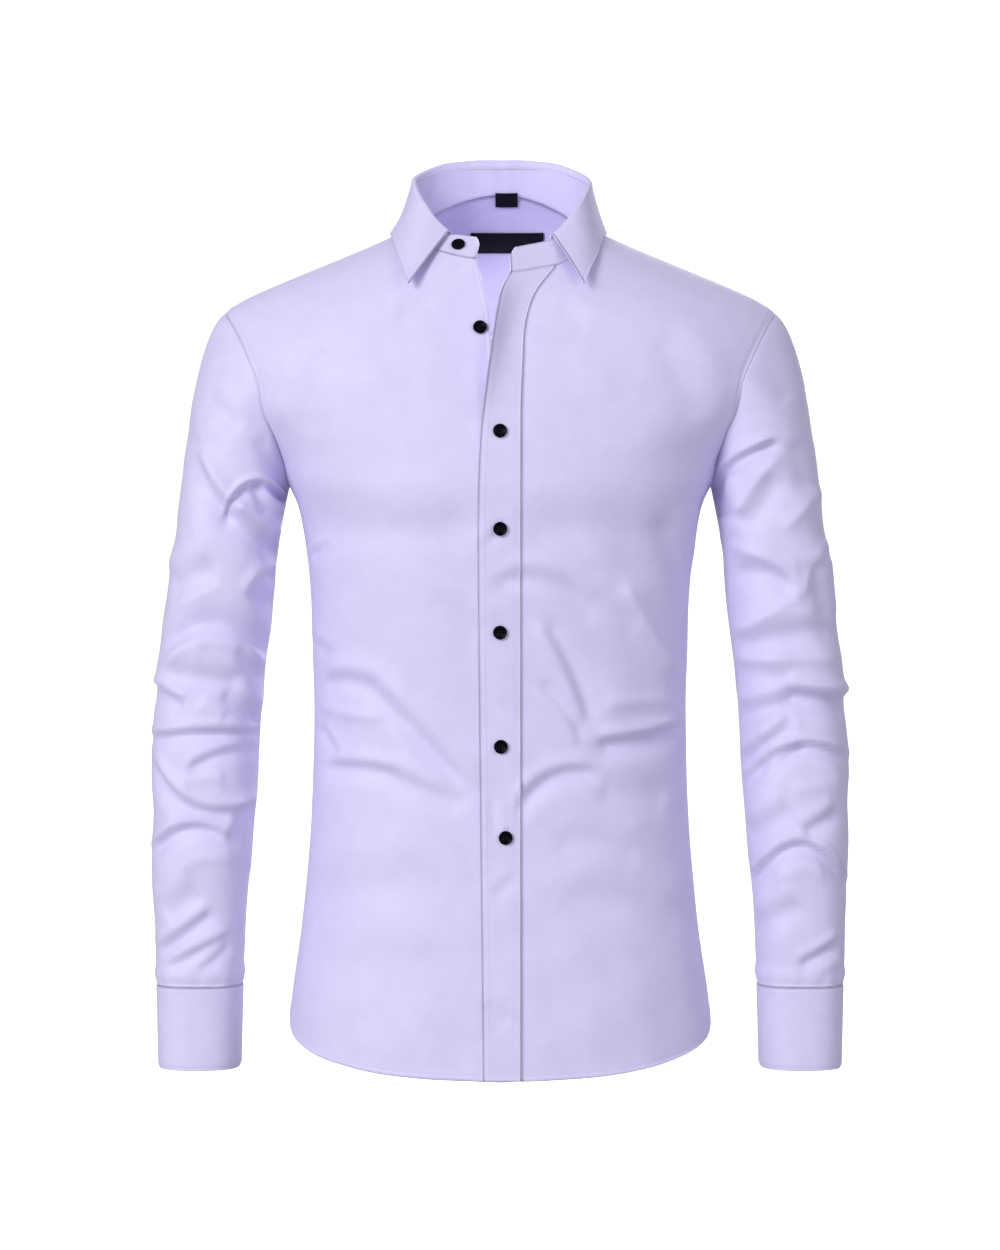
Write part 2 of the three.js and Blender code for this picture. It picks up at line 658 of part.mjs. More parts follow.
function sleeveTube(hand, ring) {
  const folds = hand === RIGHT ? RIGHT_SLEEVE_FOLDS : LEFT_SLEEVE_FOLDS;
  const grid = [];
  for (const t of steps(0, 1, CAP_ROWS).slice(0, CAP_ROWS)) {
    grid.push(ring.map((from, k) => crownPoint(hand, from, (360 * k) / ring.length, t)));
  }
  for (const z of steps(CAP_END, SLEEVE_END, ARM_ROWS)) {
    grid.push(ring.map((_, k) => sleevePoint(hand, (360 * k) / ring.length, z)));
  }
  return grid.map((row, j) => row.map((point, k) => {
    const angle = radians((360 * k) / ring.length);
    const out = new THREE.Vector3(hand * Math.cos(angle), -Math.sin(angle), 0);
    const isFront = Math.sin(angle) > 0;
    const turned = Math.min(1, Math.abs(Math.sin(angle)) * SLEEVE_FOLD.growth + SLEEVE_FOLD.least);
    const share = turned * clamp(j / SLEEVE_FOLD.rows, 0, 1)
      * clamp((point.z - SLEEVE_END) / SLEEVE_FOLD.above, 0, 1);
    const push = isFront
      ? foldPush(folds, point.x, point.z)
      : foldPush(SLEEVE_BACK_FOLDS, Math.abs(point.x), point.z + (hand === RIGHT ? SLEEVE_FOLD.backDrop : 0));
    return point.addScaledVector(out, push * share);
  }));
}

// Walls

// Outward normals of a grid; around is true where the columns close
function gridNormals(grid, around, outward) {
  const rows = grid.length;
  const columns = grid[0].length;
  const normals = grid.map((row, j) => row.map((_, i) => {
    const before = around ? (i + columns - 1) % columns : Math.max(0, i - 1);
    const after = around ? (i + 1) % columns : Math.min(columns - 1, i + 1);
    const across = row[after].clone().sub(row[before]);
    const along = grid[Math.min(rows - 1, j + 1)][i].clone().sub(grid[Math.max(0, j - 1)][i]);
    return across.cross(along).normalize();
  }));
  const middle = [Math.floor(rows / 2), Math.floor(columns / 2)];
  const sample = normals[middle[0]][middle[1]];
  const flip = sample.dot(outward(grid[middle[0]][middle[1]])) < 0;
  if (flip) normals.forEach((row) => row.forEach((normal) => normal.negate()));
  return normals;
}

const seamNormals = new Map();

function seamKey(point) {
  return [point.x, point.y, point.z].map((value) => value.toFixed(1)).join(' ');
}

function registerSeams(piece) {
  piece.grid.forEach((row, j) => row.forEach((point, i) => {
    const key = seamKey(point);
    if (!seamNormals.has(key)) seamNormals.set(key, []);
    seamNormals.get(key).push(piece.normals[j][i]);
  }));
}

// Joins the normals of pieces that meet at a seam, so their ends are mitred
function seamNormal(point, own) {
  const sum = new THREE.Vector3();
  let valley = false;
  for (const normal of seamNormals.get(seamKey(point)) ?? [own]) {
    if (normal.dot(own) > 0.3) sum.add(normal);
    else valley = true;
  }
  return { normal: sum.normalize(), valley };
}

// Moves the edge of a grid half a seam gap into the piece
function trimEdges(grid, around) {
  const rows = grid.length - 1;
  const columns = grid[0].length - 1;
  const toward = (from, to) => to.clone().sub(from).normalize().multiplyScalar(SEAM_GAP / 2);
  const shifted = grid.map((row) => row.map((point) => point.clone()));
  grid.forEach((row, j) => row.forEach((point, i) => {
    if (j === 0) shifted[j][i].add(toward(point, grid[1][i]));
    if (j === rows) shifted[j][i].add(toward(point, grid[rows - 1][i]));
    if (!around && i === 0) shifted[j][i].add(toward(point, row[1]));
    if (!around && i === columns) shifted[j][i].add(toward(point, row[columns - 1]));
  }));
  return shifted;
}

// Closed body between an outer and an inner grid
function wallBetween(outer, inner, around) {
  const rows = outer.length;
  const columns = outer[0].length;
  const positions = [...outer.flat(), ...inner.flat()].flatMap((point) => [point.x, point.y, point.z]);
  const far = rows * columns;
  const at = (j, i) => j * columns + (i % columns);
  const indices = [];
  const quad = (a, b, c, d) => indices.push(a, b, c, a, c, d);
  const wide = around ? columns : columns - 1;
  for (let j = 0; j < rows - 1; j += 1) {
    for (let i = 0; i < wide; i += 1) {
      quad(at(j, i), at(j, i + 1), at(j + 1, i + 1), at(j + 1, i));
      quad(far + at(j, i), far + at(j + 1, i), far + at(j + 1, i + 1), far + at(j, i + 1));
    }
  }
  for (let i = 0; i < wide; i += 1) {
    quad(at(0, i), far + at(0, i), far + at(0, i + 1), at(0, i + 1));
    quad(at(rows - 1, i + 1), far + at(rows - 1, i + 1), far + at(rows - 1, i), at(rows - 1, i));
  }
  for (let j = 0; j < rows - 1 && !around; j += 1) {
    quad(at(j + 1, 0), far + at(j + 1, 0), far + at(j, 0), at(j, 0));
    quad(at(j, columns - 1), far + at(j, columns - 1), far + at(j + 1, columns - 1), at(j + 1, columns - 1));
  }
  const geometry = new THREE.BufferGeometry();
  geometry.setAttribute('position', new THREE.Float32BufferAttribute(positions, 3));
  geometry.setIndex(indices);
  return facingOut(geometry);
}

// Turns all faces round where the body is inside out
function facingOut(geometry) {
  const position = geometry.getAttribute('position');
  const index = geometry.getIndex();
  const corner = (k) => new THREE.Vector3().fromBufferAttribute(position, index.getX(k));
  let volume = 0;
  for (let k = 0; k < index.count; k += 3) {
    volume += corner(k).dot(corner(k + 1).cross(corner(k + 2)));
  }
  if (volume < 0) {
    const turned = Array.from(index.array);
    for (let k = 0; k < turned.length; k += 3) {
      [turned[k + 1], turned[k + 2]] = [turned[k + 2], turned[k + 1]];
    }
    geometry.setIndex(turned);
  }
  geometry.computeVertexNormals();
  return geometry;
}

// Wall of a cut piece: the grid is its outer face
function clothWall(piece, thickness = WALL, proud = 0) {
  const outer = piece.grid.map((row, j) => row.map((point, i) => {
    const { normal, valley } = seamNormal(point, piece.normals[j][i]);
    return point.clone().addScaledVector(normal, proud - (valley ? SEAM_GAP : 0));
  }));
  const inner = outer.map((row, j) => row.map((point, i) => {
    const { normal } = seamNormal(piece.grid[j][i], piece.normals[j][i]);
    return point.clone().addScaledVector(normal, -thickness);
  }));
  return wallBetween(trimEdges(outer, piece.around), trimEdges(inner, piece.around), piece.around);
}

// Wall that lies on a piece: part of its points, moved out
function layerOn(piece, rows, columns, thickness) {
  const lift = (distance) => rows.map((j) => columns.map((i) => piece.grid[j][i].clone()
    .addScaledVector(seamNormal(piece.grid[j][i], piece.normals[j][i]).normal, distance)));
  const base = trimEdges(lift(SEAM_GAP), false);
  const face = trimEdges(lift(SEAM_GAP + thickness), false);
  return wallBetween(face, base, false);
}

function makePiece(grid, around, outward) {
  const piece = { grid, around, normals: gridNormals(grid, around, outward) };
  registerSeams(piece);
  return piece;
}

const fromBody = (point) => new THREE.Vector3(point.x * 0.3, point.y - SIDE_Y, 0);

function fromSleeve(hand) {
  return (point) => {
    const middle = (sleeveOf.outer(point.z) + sleeveOf.inner(point.z)) / 2;
    return new THREE.Vector3(point.x - hand * middle, point.y, 0);
  };
}

// Collar

const bandRise = column(BAND, 'turn', 'rise');
const bandLean = column(BAND, 'turn', 'lean');
const fallSwell = column(FALL_SWELL, 'turn', 'swell');

function neckPoint(degrees) {
  const { place, side } = neckSeam(degrees);
  return formPoint(place[0], place[1], side);
}

function towardNeck(point) {
  return new THREE.Vector3(-point.x, NECK_MIDDLE_Y - point.y, 0).normalize();
}

// Point of the band above a neck seam point, share 0 bottom to 1 top
function bandPoint(bottom, degrees, share, cut = 1) {
  const lean = towardNeck(bottom).multiplyScalar(bandLean(degrees) * share * cut);
  const rise = SEAM_GAP + bandRise(degrees) * share * cut;
  return bottom.clone().add(lean).add(new THREE.Vector3(0, 0, rise));
}

function bandStations({ right, left, yoke, placket }) {
  const side = right[0].length - 1;
  const neckRow = right.length - 1 - NECK_ROWS;
  const rightNeck = right.slice(neckRow, -1).map((row) => row[side]);
  const leftNeck = left.slice(neckRow, -1).map((row) => row[side]).reverse();
  const backNeckRow = yoke[yoke.length - 1].slice(SHOULDER_COLUMNS, -SHOULDER_COLUMNS);
  return [...rightNeck, ...backNeckRow, ...leftNeck, ...placket[placket.length - 1].slice(1)];
}

// Turn of a neck seam point from the middle of the back
function turnOf(point) {
  const angle = (Math.asin(clamp(Math.abs(point.x) / NECK_HALF, 0, 1)) * 180) / Math.PI;
  const hand = point.x < 0 ? RIGHT : LEFT;
  return hand * (point.y > SIDE_Y ? angle : 180 - angle);
}

function collarBand(panels) {
  const neck = bandStations(panels);
  const first = neck[0];
  const last = neck[neck.length - 1];
  const grid = steps(0, 1, BAND_ROWS).map((share) => neck.map((bottom) => {
    const toEnd = Math.min(bottom.distanceTo(first), bottom.distanceTo(last));
    const cut = Math.sqrt(clamp((toEnd + BAND_END_START) / BAND_END_ROUND, 0, 1));
    return bandPoint(bottom, turnOf(bottom), share, cut);
  }));
  return makePiece(grid, false, (point) => towardNeck(point).negate());
}

// Fall: rolls over the top of the band and drops to its outer edge
function fallSection(degrees) {
  const edge = new THREE.Vector3(...['x', 'y', 'z'].map((axis) => column(FALL_EDGE, 'turn', axis)(degrees)));
  const top = bandPoint(neckPoint(degrees), degrees, 1);
  const out = towardNeck(top).negate();
  const centre = top.clone().addScaledVector(out, FOLD_OUT).add(new THREE.Vector3(0, 0, FOLD_UP));
  const outer = [];
  const inner = [];
  const roll = (list, radius) => (angle) => list.push(centre.clone()
    .addScaledVector(out, -radius * Math.cos(angle))
    .add(new THREE.Vector3(0, 0, radius * Math.sin(angle))));
  const angles = steps(0, radians(140), ROLL_STEPS);
  angles.forEach(roll(outer, FOLD_RADIUS));
  angles.forEach(roll(inner, FOLD_RADIUS - BAND_WALL));
  const drop = (list, shift) => {
    const start = list[list.length - 1].clone();
    const end = edge.clone().addScaledVector(out, shift);
    const bend = start.clone().lerp(end, 0.5).addScaledVector(out, fallSwell(degrees))
      .add(new THREE.Vector3(0, 0, FALL_BEND_RISE));
    steps(0, 1, FALL_ROWS).slice(1).forEach((t) => {
      list.push(start.clone().multiplyScalar((1 - t) ** 2)
        .addScaledVector(bend, 2 * t * (1 - t))
        .addScaledVector(end, t * t));
    });
  };
  drop(outer, 0);
  drop(inner, -BAND_WALL);
  return { outer, inner };
}

function collarFall() {
  const sections = steps(FALL_START, FALL_STOP, FALL_COLUMNS).map(fallSection);
  const lay = (name) => sections[0][name].map((_, j) => sections.map((section) => section[name][j]));
  return wallBetween(lay('outer'), lay('inner'), false);
}

// Cuffs: a strip wrapped once round, its under end tucked inside the lap
function cuffGrid(hand) {
  const start = CUFF_OPENING_TURN - CUFF_LAP_TURN / 2;
  return steps(SLEEVE_END - SEAM_GAP, CUFF_END, CUFF_ROWS).map((z) => (
    steps(start, start + 360 + CUFF_LAP_TURN, CUFF_COLUMNS).map((degrees) => {
      const tuck = clamp((degrees - start - CUFF_TUCK_TURN) / CUFF_TUCK_RUN, 0, 1);
      return sleevePoint(hand, degrees, z, CUFF_PROUD - CUFF_TUCK * tuck);
    })
  ));
}

function cuff(hand) {
  return makePiece(cuffGrid(hand), false, fromSleeve(hand));
}

// Buttons

function buttonShape() {
  const half = BUTTON_RADIUS;
  const profile = [
    [0, 0], [half * 0.8, 0], [half, BUTTON_DEPTH * 0.4], [half * 0.96, BUTTON_DEPTH * 0.85],
    [half * 0.8, BUTTON_DEPTH], [half * 0.55, BUTTON_DEPTH * 0.72], [0, BUTTON_DEPTH * 0.72],
  ].map(([x, y]) => new THREE.Vector2(x, y));
  return new THREE.LatheGeometry(profile, BUTTON_SIDES);
}

function button(name, seat, normal) {
  const mesh = new THREE.Mesh(buttonShape(), blackGloss());
  mesh.name = name;
  mesh.quaternion.setFromUnitVectors(new THREE.Vector3(0, 1, 0), normal);
  mesh.position.copy(seat).addScaledVector(normal, SEAM_GAP);
  return mesh;
}

// Point or normal on the two facets between four points of a grid
function facetMix(list, j, i, u, v) {
  const near = list[j][i];
  const far = list[j + 1][i + 1];
  const corner = u >= v ? list[j][i + 1] : list[j + 1][i];
  const high = Math.max(u, v);
  const low = Math.min(u, v);
  return near.clone().multiplyScalar(1 - high)
    .addScaledVector(corner, high - low)
    .addScaledVector(far, low);
}

// Finds the point of a piece at a place in the front view
function onPiece(piece, x, z) {
  let best = { miss: Infinity };
  const test = (j, i, u, v) => {
    const point = facetMix(piece.grid, j, i, u, v);
    const miss = Math.hypot(point.x - x, point.z - z);
    if (miss < best.miss) best = { miss, point, j, i, u, v };
  };
  for (let j = 0; j < piece.grid.length - 1; j += 1) {
    for (let i = 0; i < piece.grid[j].length - 1; i += 1) {
      steps(0.25, 0.75, 1).forEach((u) => steps(0.25, 0.75, 1).forEach((v) => test(j, i, u, v)));
    }
  }
  for (let reach = 0.25; reach > 0.002; reach /= 2) {
    const { j, i, u, v } = best;
    steps(-reach, reach, 2).forEach((du) => steps(-reach, reach, 2).forEach((dv) => (
      test(j, i, clamp(u + du, 0, 1), clamp(v + dv, 0, 1)))));
  }
  return { point: best.point, normal: facetMix(piece.normals, best.j, best.i, best.u, best.v).normalize() };
}

// Labels: thin walls on the inside of the yoke
function insideLabel(yoke, spec) {
  const rows = steps(spec.top, spec.top - spec.height, LABEL_ROWS);
  const columns = steps(spec.x - spec.width / 2, spec.x + spec.width / 2, LABEL_COLUMNS);
  const lift = (distance) => rows.map((z) => columns.map((x) => {
    const { point, normal } = onPiece(yoke, x, z);
    return point.addScaledVector(normal, -distance);
  }));
  return wallBetween(lift(WALL + LABEL_CLEAR), lift(WALL + LABEL_CLEAR + LABEL_WALL), false);
}

// Materials

function cotton(shade) {
  return new THREE.MeshStandardMaterial({ color: shade, roughness: 0.72, metalness: 0 });
}

function blackGloss() {
  return new THREE.MeshStandardMaterial({ color: 0x08070c, roughness: 0.18, metalness: 0 });
}

function blackSatin() {
  return new THREE.MeshStandardMaterial({ color: 0x100e18, roughness: 0.45, metalness: 0 });
}

// Assembly

const LAVENDER = 0xdad4f5;
const LAVENDER_STIFF = 0xd6d0f2;

function buildShirt() {
  const shirt = new THREE.Group();
  const add = (name, geometry, material) => {
    const mesh = new THREE.Mesh(geometry, material);
    mesh.name = name;
    shirt.add(mesh);
  };

  const rightPlain = frontPanel(RIGHT);
  const leftPlain = frontPanel(LEFT);
  const placketPlain = placketBand(leftPlain);
  const crease = (grid, side, folds) => grid.map((row) => row.map((point) => pushed(point, side, folds)));
  const right = crease(rightPlain, 'front', FRONT_FOLDS).map((row) => row.map(tuckUnder));
  const left = crease(leftPlain, 'front', FRONT_FOLDS);
  const placket = crease(placketPlain, 'front', FRONT_FOLDS);
  const back = crease(backPanel(), 'back', BACK_FOLDS);
  const yoke = yokePanel();

  const frontRight = makePiece(right, false, fromBody);
  const frontLeft = makePiece(left, false, fromBody);
  const backPiece = makePiece(back, false, fromBody);
  const yokePiece = makePiece(yoke, false, fromBody);
  const sleeves = [RIGHT, LEFT].map((hand) => {
    const ring = armholeRing(hand, hand === RIGHT ? right : left, back, yoke);
    return makePiece(sleeveTube(hand, ring), true, fromSleeve(hand));
  });
  const placketPiece = makePiece(placket, false, fromBody);
  const band = collarBand({ right, left, yoke, placket });

  add('front_right', clothWall(frontRight), cotton(LAVENDER));
  add('front_left', clothWall(frontLeft), cotton(LAVENDER));
  add('back', clothWall(backPiece), cotton(LAVENDER));
  add('yoke', clothWall(yokePiece), cotton(LAVENDER));
  add('sleeve_right', clothWall(sleeves[0]), cotton(LAVENDER));
  add('sleeve_left', clothWall(sleeves[1]), cotton(LAVENDER));
  add('collar_band', clothWall(band, BAND_WALL), cotton(LAVENDER_STIFF));
  add('collar_fall', collarFall(), cotton(LAVENDER_STIFF));

  add('front_placket', clothWall(placketPiece, PLACKET_WALL, PLACKET_PROUD), cotton(LAVENDER_STIFF));

  [['right', RIGHT], ['left', LEFT]].forEach(([word, hand], which) => {
    const wrap = cuff(hand);
    add(`cuff_${word}`, clothWall(wrap, CUFF_WALL), cotton(LAVENDER_STIFF));
    const sleeve = sleeves[which];
    const slitRows = sleeve.grid.map((_, j) => j).filter((j) => sleeve.grid[j][0].z < SLEEVE_SLIT_TOP);
    const slit = Math.round((CUFF_OPENING_TURN / 360) * sleeve.grid[0].length);
    const slitColumns = [slit - 1, slit, slit + 1];
    add(`sleeve_placket_${word}`, layerOn(sleeve, slitRows, slitColumns, WALL), cotton(LAVENDER_STIFF));
    const seatZ = (SLEEVE_END + CUFF_END) / 2;
    const seat = sleevePoint(hand, CUFF_OPENING_TURN, seatZ, CUFF_PROUD + 0.2);
    const out = seat.clone().sub(sleevePoint(hand, CUFF_OPENING_TURN, seatZ, -10)).normalize();
    shirt.add(button(`cuff_button_${word}`, seat, out));
  });

  const bandSeat = bandPoint(neckPoint(BAND_BUTTON_TURN), BAND_BUTTON_TURN, 0.5);
  const sewOn = (name, piece, x, z, rise) => {
    const { point, normal } = onPiece(piece, x, z);
    shirt.add(button(name, point.addScaledVector(normal, rise + BUTTON_CLEAR), normal));
  };
  sewOn('button_1', band, bandSeat.x, bandSeat.z, 0);
  sewOn('button_2', frontRight, OPEN_BUTTON.x, OPEN_BUTTON.z, 0);
  PLACKET_BUTTONS.forEach(({ x, z }, i) => sewOn(`button_${i + 3}`, placketPiece, x, z, PLACKET_PROUD));

  add('neck_label', insideLabel(yokePiece, NECK_LABEL), blackSatin());
  add('size_label', insideLabel(yokePiece, SIZE_LABEL), blackSatin());
  return shirt;
}

export default buildShirt();
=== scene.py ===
"""Looks of a long sleeve dress shirt in lavender cotton, filled out as if worn.

The front faces -Y, the wearer's left arm is on +X and +Z is up. The origin lies
midway between the two neck points. Sizes in this file are in millimetres and
become metres where a mesh is made.
"""

from __future__ import annotations

import logging
import math
from collections.abc import Sequence
from dataclasses import dataclass, field
from enum import Enum

import bpy
import numpy as np
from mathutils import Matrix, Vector


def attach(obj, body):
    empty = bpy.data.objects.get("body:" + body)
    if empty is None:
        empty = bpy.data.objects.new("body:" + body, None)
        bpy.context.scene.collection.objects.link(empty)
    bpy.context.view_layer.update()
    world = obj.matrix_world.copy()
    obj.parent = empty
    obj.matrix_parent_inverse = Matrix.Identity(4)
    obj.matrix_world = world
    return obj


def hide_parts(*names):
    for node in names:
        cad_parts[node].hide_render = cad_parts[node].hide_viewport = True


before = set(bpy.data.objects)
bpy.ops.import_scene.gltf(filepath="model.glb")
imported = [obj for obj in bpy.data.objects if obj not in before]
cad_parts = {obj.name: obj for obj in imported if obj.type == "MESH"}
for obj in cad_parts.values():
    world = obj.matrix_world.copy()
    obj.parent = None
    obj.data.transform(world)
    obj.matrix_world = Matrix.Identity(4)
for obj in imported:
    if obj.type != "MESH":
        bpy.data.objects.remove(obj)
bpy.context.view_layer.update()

Array = np.ndarray
log = logging.getLogger("shirt")
MM = 0.001


class Hand(Enum):
    """Side of the wearer, as the sign of X."""

    RIGHT = -1
    LEFT = 1


class Side(Enum):
    """Half of the body form."""

    FRONT = "front"
    BACK = "back"


class Edge(Enum):
    """Edge of a panel's grid."""

    BOTTOM = "bottom"
    TOP = "top"
    START = "start"
    END = "end"


def table(names: str, *rows: Sequence[float]) -> dict[str, Array]:
    """Columns of a table by name."""
    return {name: np.array([row[i] for row in rows], float) for i, name in enumerate(names.split())}


# Cloth and sewing
CLOTH = 0.7
STIFF_CLOTH = 1.4
CUFF_CLOTH = 1.8
PLACKET_PROUD = 0.3
PLACKET_CLOTH = 1.0
PLACKET_SINK = 0.5
PLACKET_ROLL = 0.6
FRONT_LAP_TUCK = 1.3
LAP_TUCK_FROM = -62
LAP_TUCK_RUN = 38
SEAM_GAP = 0.3
HEM_WIDTH = 6.0
FELL_WIDTH = 8.0
HEM_RISE = 0.35
FELL_RISE = 0.4
YOKE_FELL_RISE = 0.35
SEAM_DIP = 0.5
SEAM_DIP_WIDTH = 0.5
WIDE_DIP_WIDTH = 0.6
NEAR_STITCH = 1.6
EDGE_STITCH = 5.5
FRONT_SEED = 11
BACK_SEED = 12
SLEEVE_SEED = 21
COLLAR_STITCH = 6.0

# Body form
SIDE_Y = 5.0
RING_POWER = 2.4
BODY_RINGS = table(
    "z half front back",
    (-705, 178, 112, 104),
    (-648, 176, 110, 103),
    (-577, 166.5, 106, 99),
    (-497, 159, 103, 94),
    (-406, 156, 103, 90),
    (-345, 157.5, 107, 93),
    (-285, 160, 113, 99),
    (-244, 165.5, 117, 103),
    (-224, 170, 119, 105),
    (-209, 177, 120, 106),
    (-187, 187, 119, 107),
    (-169, 201, 117, 107),
    (-149, 219, 114, 106),
    (-123, 231, 110, 104),
    (-100, 236, 104, 101),
    (-60, 240, 91, 94),
    (-25, 240, 81, 87),
    (0, 240, 76, 82),
    (60, 240, 66, 76),
)
SHOULDER_ROUND = 75.0
SHOULDER_ARC = 125.0
SHOULDER_TOP = table(
    "x front back",
    (0, 38, 68),
    (25, 28, 63),
    (55, 15, 39),
    (80, 5, 5),
    (100, -4, -4),
    (120, -12.6, -12.6),
    (169, -32.8, -32.8),
    (193, -42.8, -42.8),
    (217, -54, -54),
    (231, -64, -64),
    (245, -78, -78),
)
ARMHOLE = table(
    "z turn",
    (-209, 1),
    (-207, 0.93),
    (-201, 0.86),
    (-187, 0.79),
    (-169, 0.7),
    (-149, 0.645),
    (-123, 0.62),
    (-100, 0.65),
    (-80, 0.7),
    (-64, 0.77),
)

# Neck seam
NECK_HALF = 80.0
NECK_RISE = 40.0
NECK_SIDE_Z = 4.0
NECK_DROP = {Hand.RIGHT: 30.0, Hand.LEFT: 45.0}

# Front edges, placket line and hem
RIGHT_EDGE = table(
    "z x",
    (-696, 13),
    (-300, 13),
    (-190, 13),
    (-160, 8),
    (-135, 0),
    (-115, -5),
    (-101, -7.3),
    (-78, -8.5),
    (-61, -10.7),
    (-39, -16.4),
    (-23, -20),
)
LEFT_EDGE = table(
    "z x lift",
    (-696, -13.5, 0),
    (-430, -16.5, 0),
    (-250, -18, 0),
    (-200, -17, 0),
    (-169, -15.2, 1),
    (-140, -12, 6),
    (-111, -8.2, 12),
    (-82, -4, 15),
    (-62, -0.8, 14),
    (-50, 2.2, 11),
    (-37.5, 9, 5),
)
PLACKET_LINE = table(
    "z x",
    (-696, 16.6),
    (-430, 16.6),
    (-169, 16.6),
    (-140, 17),
    (-111, 18.3),
    (-86, 19.5),
    (-70, 22.5),
    (-53, 29),
    (-30.4, 46),
)
HEM = table(
    "turn front back",
    (0, -697, -702),
    (0.3, -693, -699),
    (0.5, -685, -692),
    (0.68, -675, -680),
    (0.84, -664, -667),
    (1, -649, -649),
)
YOKE_SEAM_MIDDLE = -78.0
YOKE_SEAM_SIDE = -100.0

# Sleeves and cuffs
SLEEVE_RINGS = table(
    "z outer inner depth y",
    (-224, 269.6, 179.8, 64, 4),
    (-244, 271.5, 184.6, 64, 4),
    (-285, 277.5, 189, 62, 3),
    (-325, 282.5, 192.4, 60, 2),
    (-365, 287.6, 197.8, 58, 1),
    (-406, 290.2, 201, 57, 0),
    (-436, 292.5, 202.4, 56, -1),
    (-476, 290.6, 205, 54, -4),
    (-517, 291.4, 207.8, 51, -7),
    (-557, 289.4, 212.2, 47, -10),
    (-597, 287.6, 214, 43.5, -12),
    (-626, 286.4, 215.2, 41, -13),
    (-695, 284.6, 216.8, 40.5, -15),
)
SLEEVE_POWER = 2.6
CAP_END = -240.0
SLEEVE_END = -625.0
CUFF_END = -694.0
CUFF_PROUD = 0.6
CUFF_OPENING_TURN = 292.0
CUFF_LAP_TURN = 34.0
CUFF_TUCK = 2.8
CUFF_TUCK_FROM = 318
CUFF_TUCK_RUN = 42
SLIT_PROUD = 1.1
SLIT_CLOTH = 0.8
SLIT_COLUMNS = 7
BACK_CREASE_DROP = 11
SLEEVE_SLIT_TOP = -500.0

# Collar
NECK_AXIS_Y = -8.0
BAND = table(
    "turn rise lean",
    (-166, 18, 15),
    (-147, 15, 13),
    (-141.5, 12.5, 12),
    (-130, 18.5, 10),
    (-120, 25.5, 9.5),
    (-105, 33, 9),
    (-90, 38, 8.5),
    (-70, 41, 5),
    (-45, 37, 5),
    (-22, 27.8, 5),
    (0, 23, 5),
    (22, 27.8, 5),
    (45, 37, 5),
    (70, 41, 3.5),
    (90, 38, 5.5),
    (105, 34, 7),
    (120, 28.5, 8),
    (134, 22, 8.5),
    (147, 19.5, 9),
    (174, 19, 9),
)
BAND_END_ROUND = 9.0
BAND_LAP = 1.5
BAND_PROUD = 0.35
FALL_EDGE = table(
    "turn x y z",
    (-141.5, -75, -90, -47),
    (-131, -79.5, -76, -34),
    (-118, -85, -56, -19),
    (-104, -90, -28, -4),
    (-90, -92.5, 2, 3.5),
    (-70, -89, 34, 5),
    (-45, -71, 61, 13),
    (-22, -39, 76, 24),
    (0, 0, 81, 30),
    (22, 39, 76, 24),
    (45, 71, 61, 13),
    (70, 88, 34, 5),
    (90, 90, 2, 4),
    (104, 86.5, -28, -4),
    (118, 81, -56, -19),
    (132, 74, -77, -34),
    (143.5, 69, -90, -47),
)
FALL_REACH = (-141.5, 143.5)
FOLD_RADIUS = 2.4
FOLD_OUT = 0.8
FOLD_UP = 1.9
FOLD_COVER = 6.0
FOLD_SINK_OUTER = 1.25
FOLD_SINK_INNER = 0.3
FALL_BEND_RISE = 3.0
FALL_SWELL = table(
    "turn swell",
    (-142, -1),
    (-118, -5),
    (-90, -8),
    (-68, -2),
    (-40, 3),
    (0, 3),
    (40, 3),
    (68, 0),
    (90, -4),
    (118, -2),
    (144, 0),
)

# Buttons and labels
BUTTON_RADIUS = 5.7
BUTTON_DEPTH = 2.4
BUTTON_LIFT = 0.35
HOLE_RADIUS = 0.62
HOLE_OUT = 1.15
PLACKET_BUTTONS = table("x z", (0, -169), (0, -248), (0, -332), (0.8, -425), (4.5, -499))
OPEN_BUTTON = (-16.3, -83.7)
BAND_BUTTON_TURN = -151.0
NECK_LABEL = {"x": 6.3, "width": 63.5, "top": 12.5, "height": 17}
SIZE_LABEL = {"x": 5.6, "width": 19.2, "top": 45.2, "height": 11}
LABEL_CLOTH = 0.45
LABEL_CURL = 0.25

